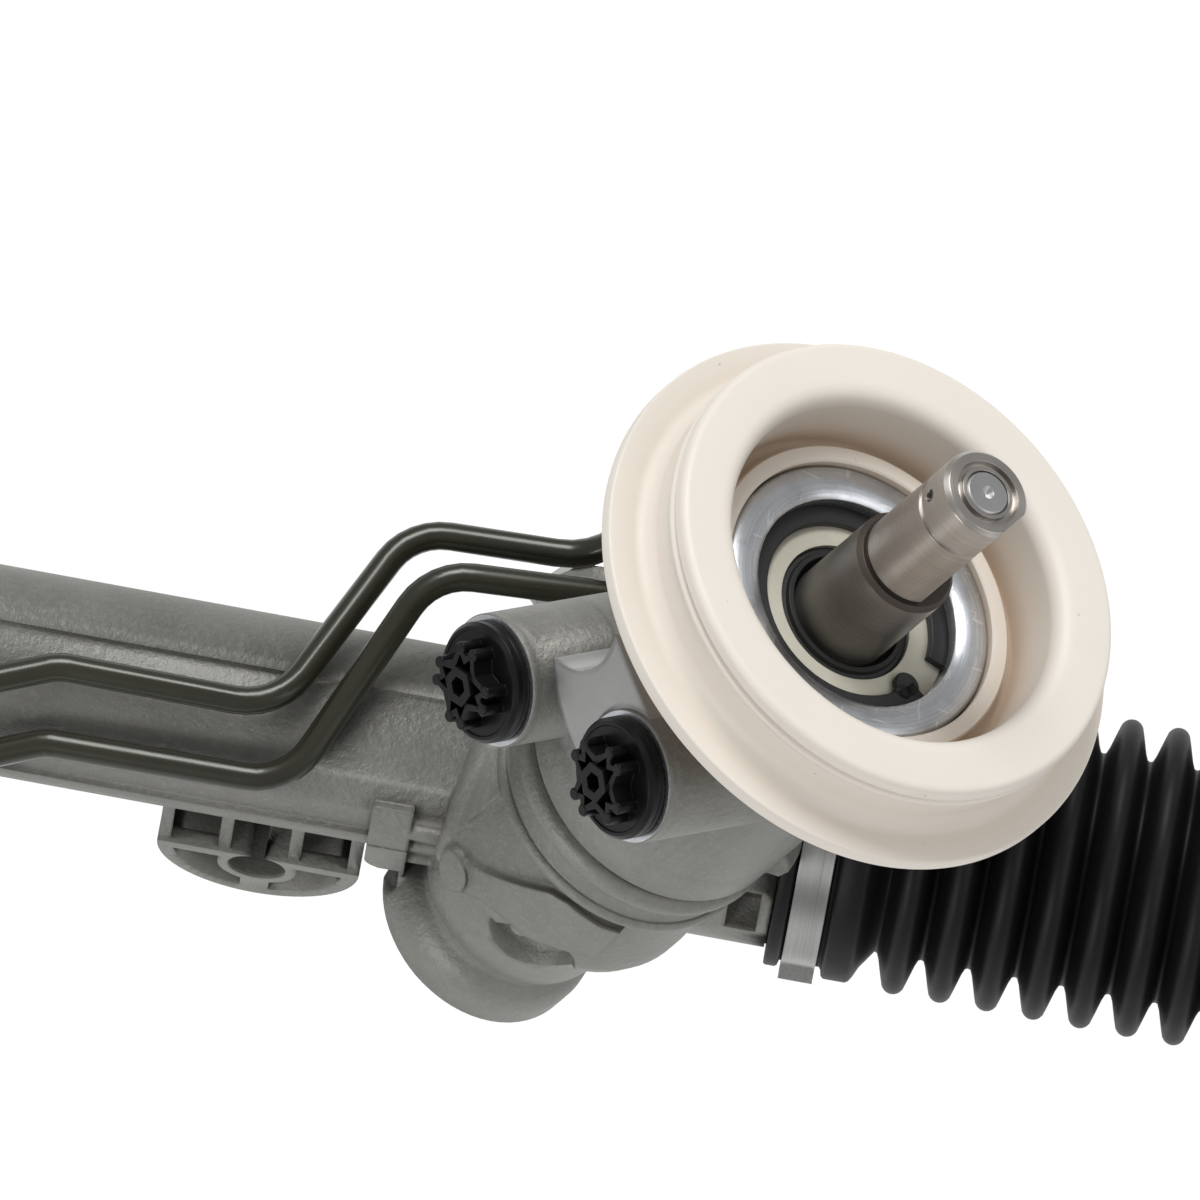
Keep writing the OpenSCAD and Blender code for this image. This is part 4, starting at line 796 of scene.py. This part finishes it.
def bellows_pieces(side, origin_x, direction):
    """Folds and a neck turned about the rack axis, meeting in a dale."""
    first_dale = FIRST - FOLD / 2
    cuff = [(-13, 31), (-12.6, 31.3), (-10.6, 31.3), (-10.1, 30.9), (-9.8, 29.8), (-1.4, 29.8),
            (-1.0, 30.4), (-0.7, 31.6), (-0.2, 32.1), (4.4, 32.1), (5.1, 31.7), (5.8, 30.6),
            (6.8, 28.4)]
    folds = stretch(first_dale, SEAM, 18 * (FOLDS - 1))
    outer = cuff + folds
    inner = [(x, r - WALL) for x, r in reversed(folds)] + [
        (6.0, 25.4), (0.4, 25.4), (0.3, 27.05), (-7.2, 27.05), (-7.2, 25.7), (-10.7, 25.7),
        (-10.8, 27.05), (-13, 27.05)]
    first = ring_mesh(f"bellows_{side}_folds", outer + inner, origin_x, direction)
    last_dale = FIRST + (FOLDS - 0.5) * FOLD
    tail = stretch(SEAM, last_dale, 18)
    cone = [(last_dale + x, r) for x, r in (
        (2.2, 26.6), (3.6, 27.4), (5.2, 27.0), (7.4, 23.0), (12.6, 14.4), (15.4, 11.4), (17.4, 10.9),
        (19.3, 10.9), (26.9, 10.9), (27.9, 11.7), (29.6, 11.9), (29.9, 11.4))]
    tail_in = [(last_dale + x, r) for x, r in (
        (29.9, 7.8), (18.0, 7.8), (12.0, 12.6), (6.4, 21.6), (4.0, 25.0), (1.8, 24.4))]
    tail_in += [(x, r - WALL) for x, r in reversed(tail)]
    second = ring_mesh(f"bellows_{side}_neck", tail + cone + tail_in, origin_x, direction)

    def at(dist):
        return tuple(CROSSING + Vector((origin_x + direction * dist, 0, 0)) * MM)

    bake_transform(first)
    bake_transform(second)
    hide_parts(f"bellows_{side}")
    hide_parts(f"bellows_{side}")


RIGHT_CUFF_X, LEFT_CUFF_X = 56.0, -372.0
bellows_pieces("right", RIGHT_CUFF_X, 1)
bellows_pieces("left", LEFT_CUFF_X, -1)

# Shading across the joins of the solids' faces
def blend_shading(mesh, limit):
    """Averages the shading directions at a point that differ by less than limit degrees."""
    for face in mesh.polygons:
        face.use_smooth = True
    verts = mesh.vertices
    corners = [tuple(round(c, 6) for c in verts[loop.vertex_index].co) for loop in mesh.loops]
    ways = [n.vector.copy() for n in mesh.corner_normals]
    groups = {}
    for k, point in enumerate(corners):
        groups.setdefault(point, []).append(k)
    least = math.cos(math.radians(limit))
    result = list(ways)
    for members in groups.values():
        for k in members:
            total = Vector((0, 0, 0))
            seen = set()
            for j in members:
                key = tuple(round(c, 2) for c in ways[j])
                if key not in seen and ways[k].dot(ways[j]) > least:
                    seen.add(key)
                    total += ways[j]
            result[k] = total.normalized() if total.length > 0.1 else ways[k]
    mesh.normals_split_custom_set(result)


REPLACED = {"bellows_right", "bellows_left", "gear_housing", "port_plugs", "seal_collar", "circlip",
            "yoke_adjuster", "yoke_locknut"}
for name, obj in NODES.items():
    if name not in REPLACED:
        blend_shading(obj.data, 27)

# Camera
RIGHT = Vector((0.984, 0.1677, 0.0627)).normalized()
BACK = Vector((0, -0.3502, 0.9367)).normalized()
UP = BACK.cross(RIGHT).normalized()
RIGHT = UP.cross(BACK).normalized()
DISTANCE, FRAME_WIDTH = 7.0, 0.250
target = CROSSING + (RIGHT * 2.83 + UP * 37.35) * MM
camera = bpy.data.objects.new("camera", bpy.data.cameras.new("camera"))
bpy.context.scene.collection.objects.link(camera)
facing = Matrix((RIGHT, UP, BACK)).transposed().to_4x4()
camera.matrix_world = Matrix.Translation(target + BACK * DISTANCE) @ facing
camera.data.sensor_width = 36
camera.data.lens = 36 * DISTANCE / FRAME_WIDTH
camera.data.clip_start, camera.data.clip_end = 0.1, 40
bpy.context.scene.camera = camera

# Floor, lamps and world
FLOOR_LIFT = 0.16          # brings the lit floor just up to white and leaves its shadow
FLOOR_DROP = 0.30


def seen_directly(tree):
    """1 for camera, glossy and transmission rays, else 0."""
    path = tree.nodes.new("ShaderNodeLightPath")
    first = tree.nodes.new("ShaderNodeMath")
    first.operation = "MAXIMUM"
    tree.links.new(path.outputs["Is Camera Ray"], first.inputs[0])
    tree.links.new(path.outputs["Is Glossy Ray"], first.inputs[1])
    second = tree.nodes.new("ShaderNodeMath")
    second.operation = "MAXIMUM"
    tree.links.new(first.outputs[0], second.inputs[0])
    tree.links.new(path.outputs["Is Transmission Ray"], second.inputs[1])
    return second.outputs[0]


lowest = cad_box[0][2]
bpy.ops.mesh.primitive_plane_add(size=14, location=(0, 0, lowest - FLOOR_DROP))
floor = bpy.context.object
floor.name = "floor"
floor_mat = bpy.data.materials.new("floor")
floor_mat.use_nodes = True
nodes, links = floor_mat.node_tree.nodes, floor_mat.node_tree.links
nodes["Principled BSDF"].inputs["Base Color"].default_value = (0.86, 0.86, 0.86, 1)
nodes["Principled BSDF"].inputs["Roughness"].default_value = 0.9
glow = nodes.new("ShaderNodeEmission")
glow.inputs["Color"].default_value = (1, 1, 1, 1)
lift = nodes.new("ShaderNodeMath")
lift.operation = "MULTIPLY"
lift.inputs[1].default_value = FLOOR_LIFT
links.new(seen_directly(floor_mat.node_tree), lift.inputs[0])
links.new(lift.outputs[0], glow.inputs["Strength"])
both = nodes.new("ShaderNodeAddShader")
links.new(nodes["Principled BSDF"].outputs[0], both.inputs[0])
links.new(glow.outputs[0], both.inputs[1])
links.new(both.outputs[0], nodes["Material Output"].inputs["Surface"])
floor.data.materials.append(floor_mat)


def lamp(name, offset, size, power):
    """Square area lamp aimed at the valve tower; offset in camera directions, in metres."""
    data = bpy.data.lights.new(name, "AREA")
    data.size = size
    data.energy = power
    obj = bpy.data.objects.new(name, data)
    bpy.context.scene.collection.objects.link(obj)
    place = CROSSING + RIGHT * offset[0] + UP * offset[1] + BACK * offset[2]
    aim = (place - CROSSING).to_track_quat("Z", "Y").to_matrix().to_4x4()
    obj.matrix_world = Matrix.Translation(place) @ aim


lamp("key", (0.1, 1.7, 1.2), 0.9, 27)
lamp("fill", (1.5, -0.2, 1.2), 1.4, 8)
lamp("low", (-1.0, -0.87, 1.2), 0.6, 9)

world = bpy.data.worlds.new("studio")
bpy.context.scene.world = world
world.use_nodes = True
world.node_tree.nodes["Background"].inputs["Color"].default_value = (1, 1, 1, 1)
world.node_tree.nodes["Background"].inputs["Strength"].default_value = 0.40
bpy.context.scene.view_settings.view_transform = "Standard"
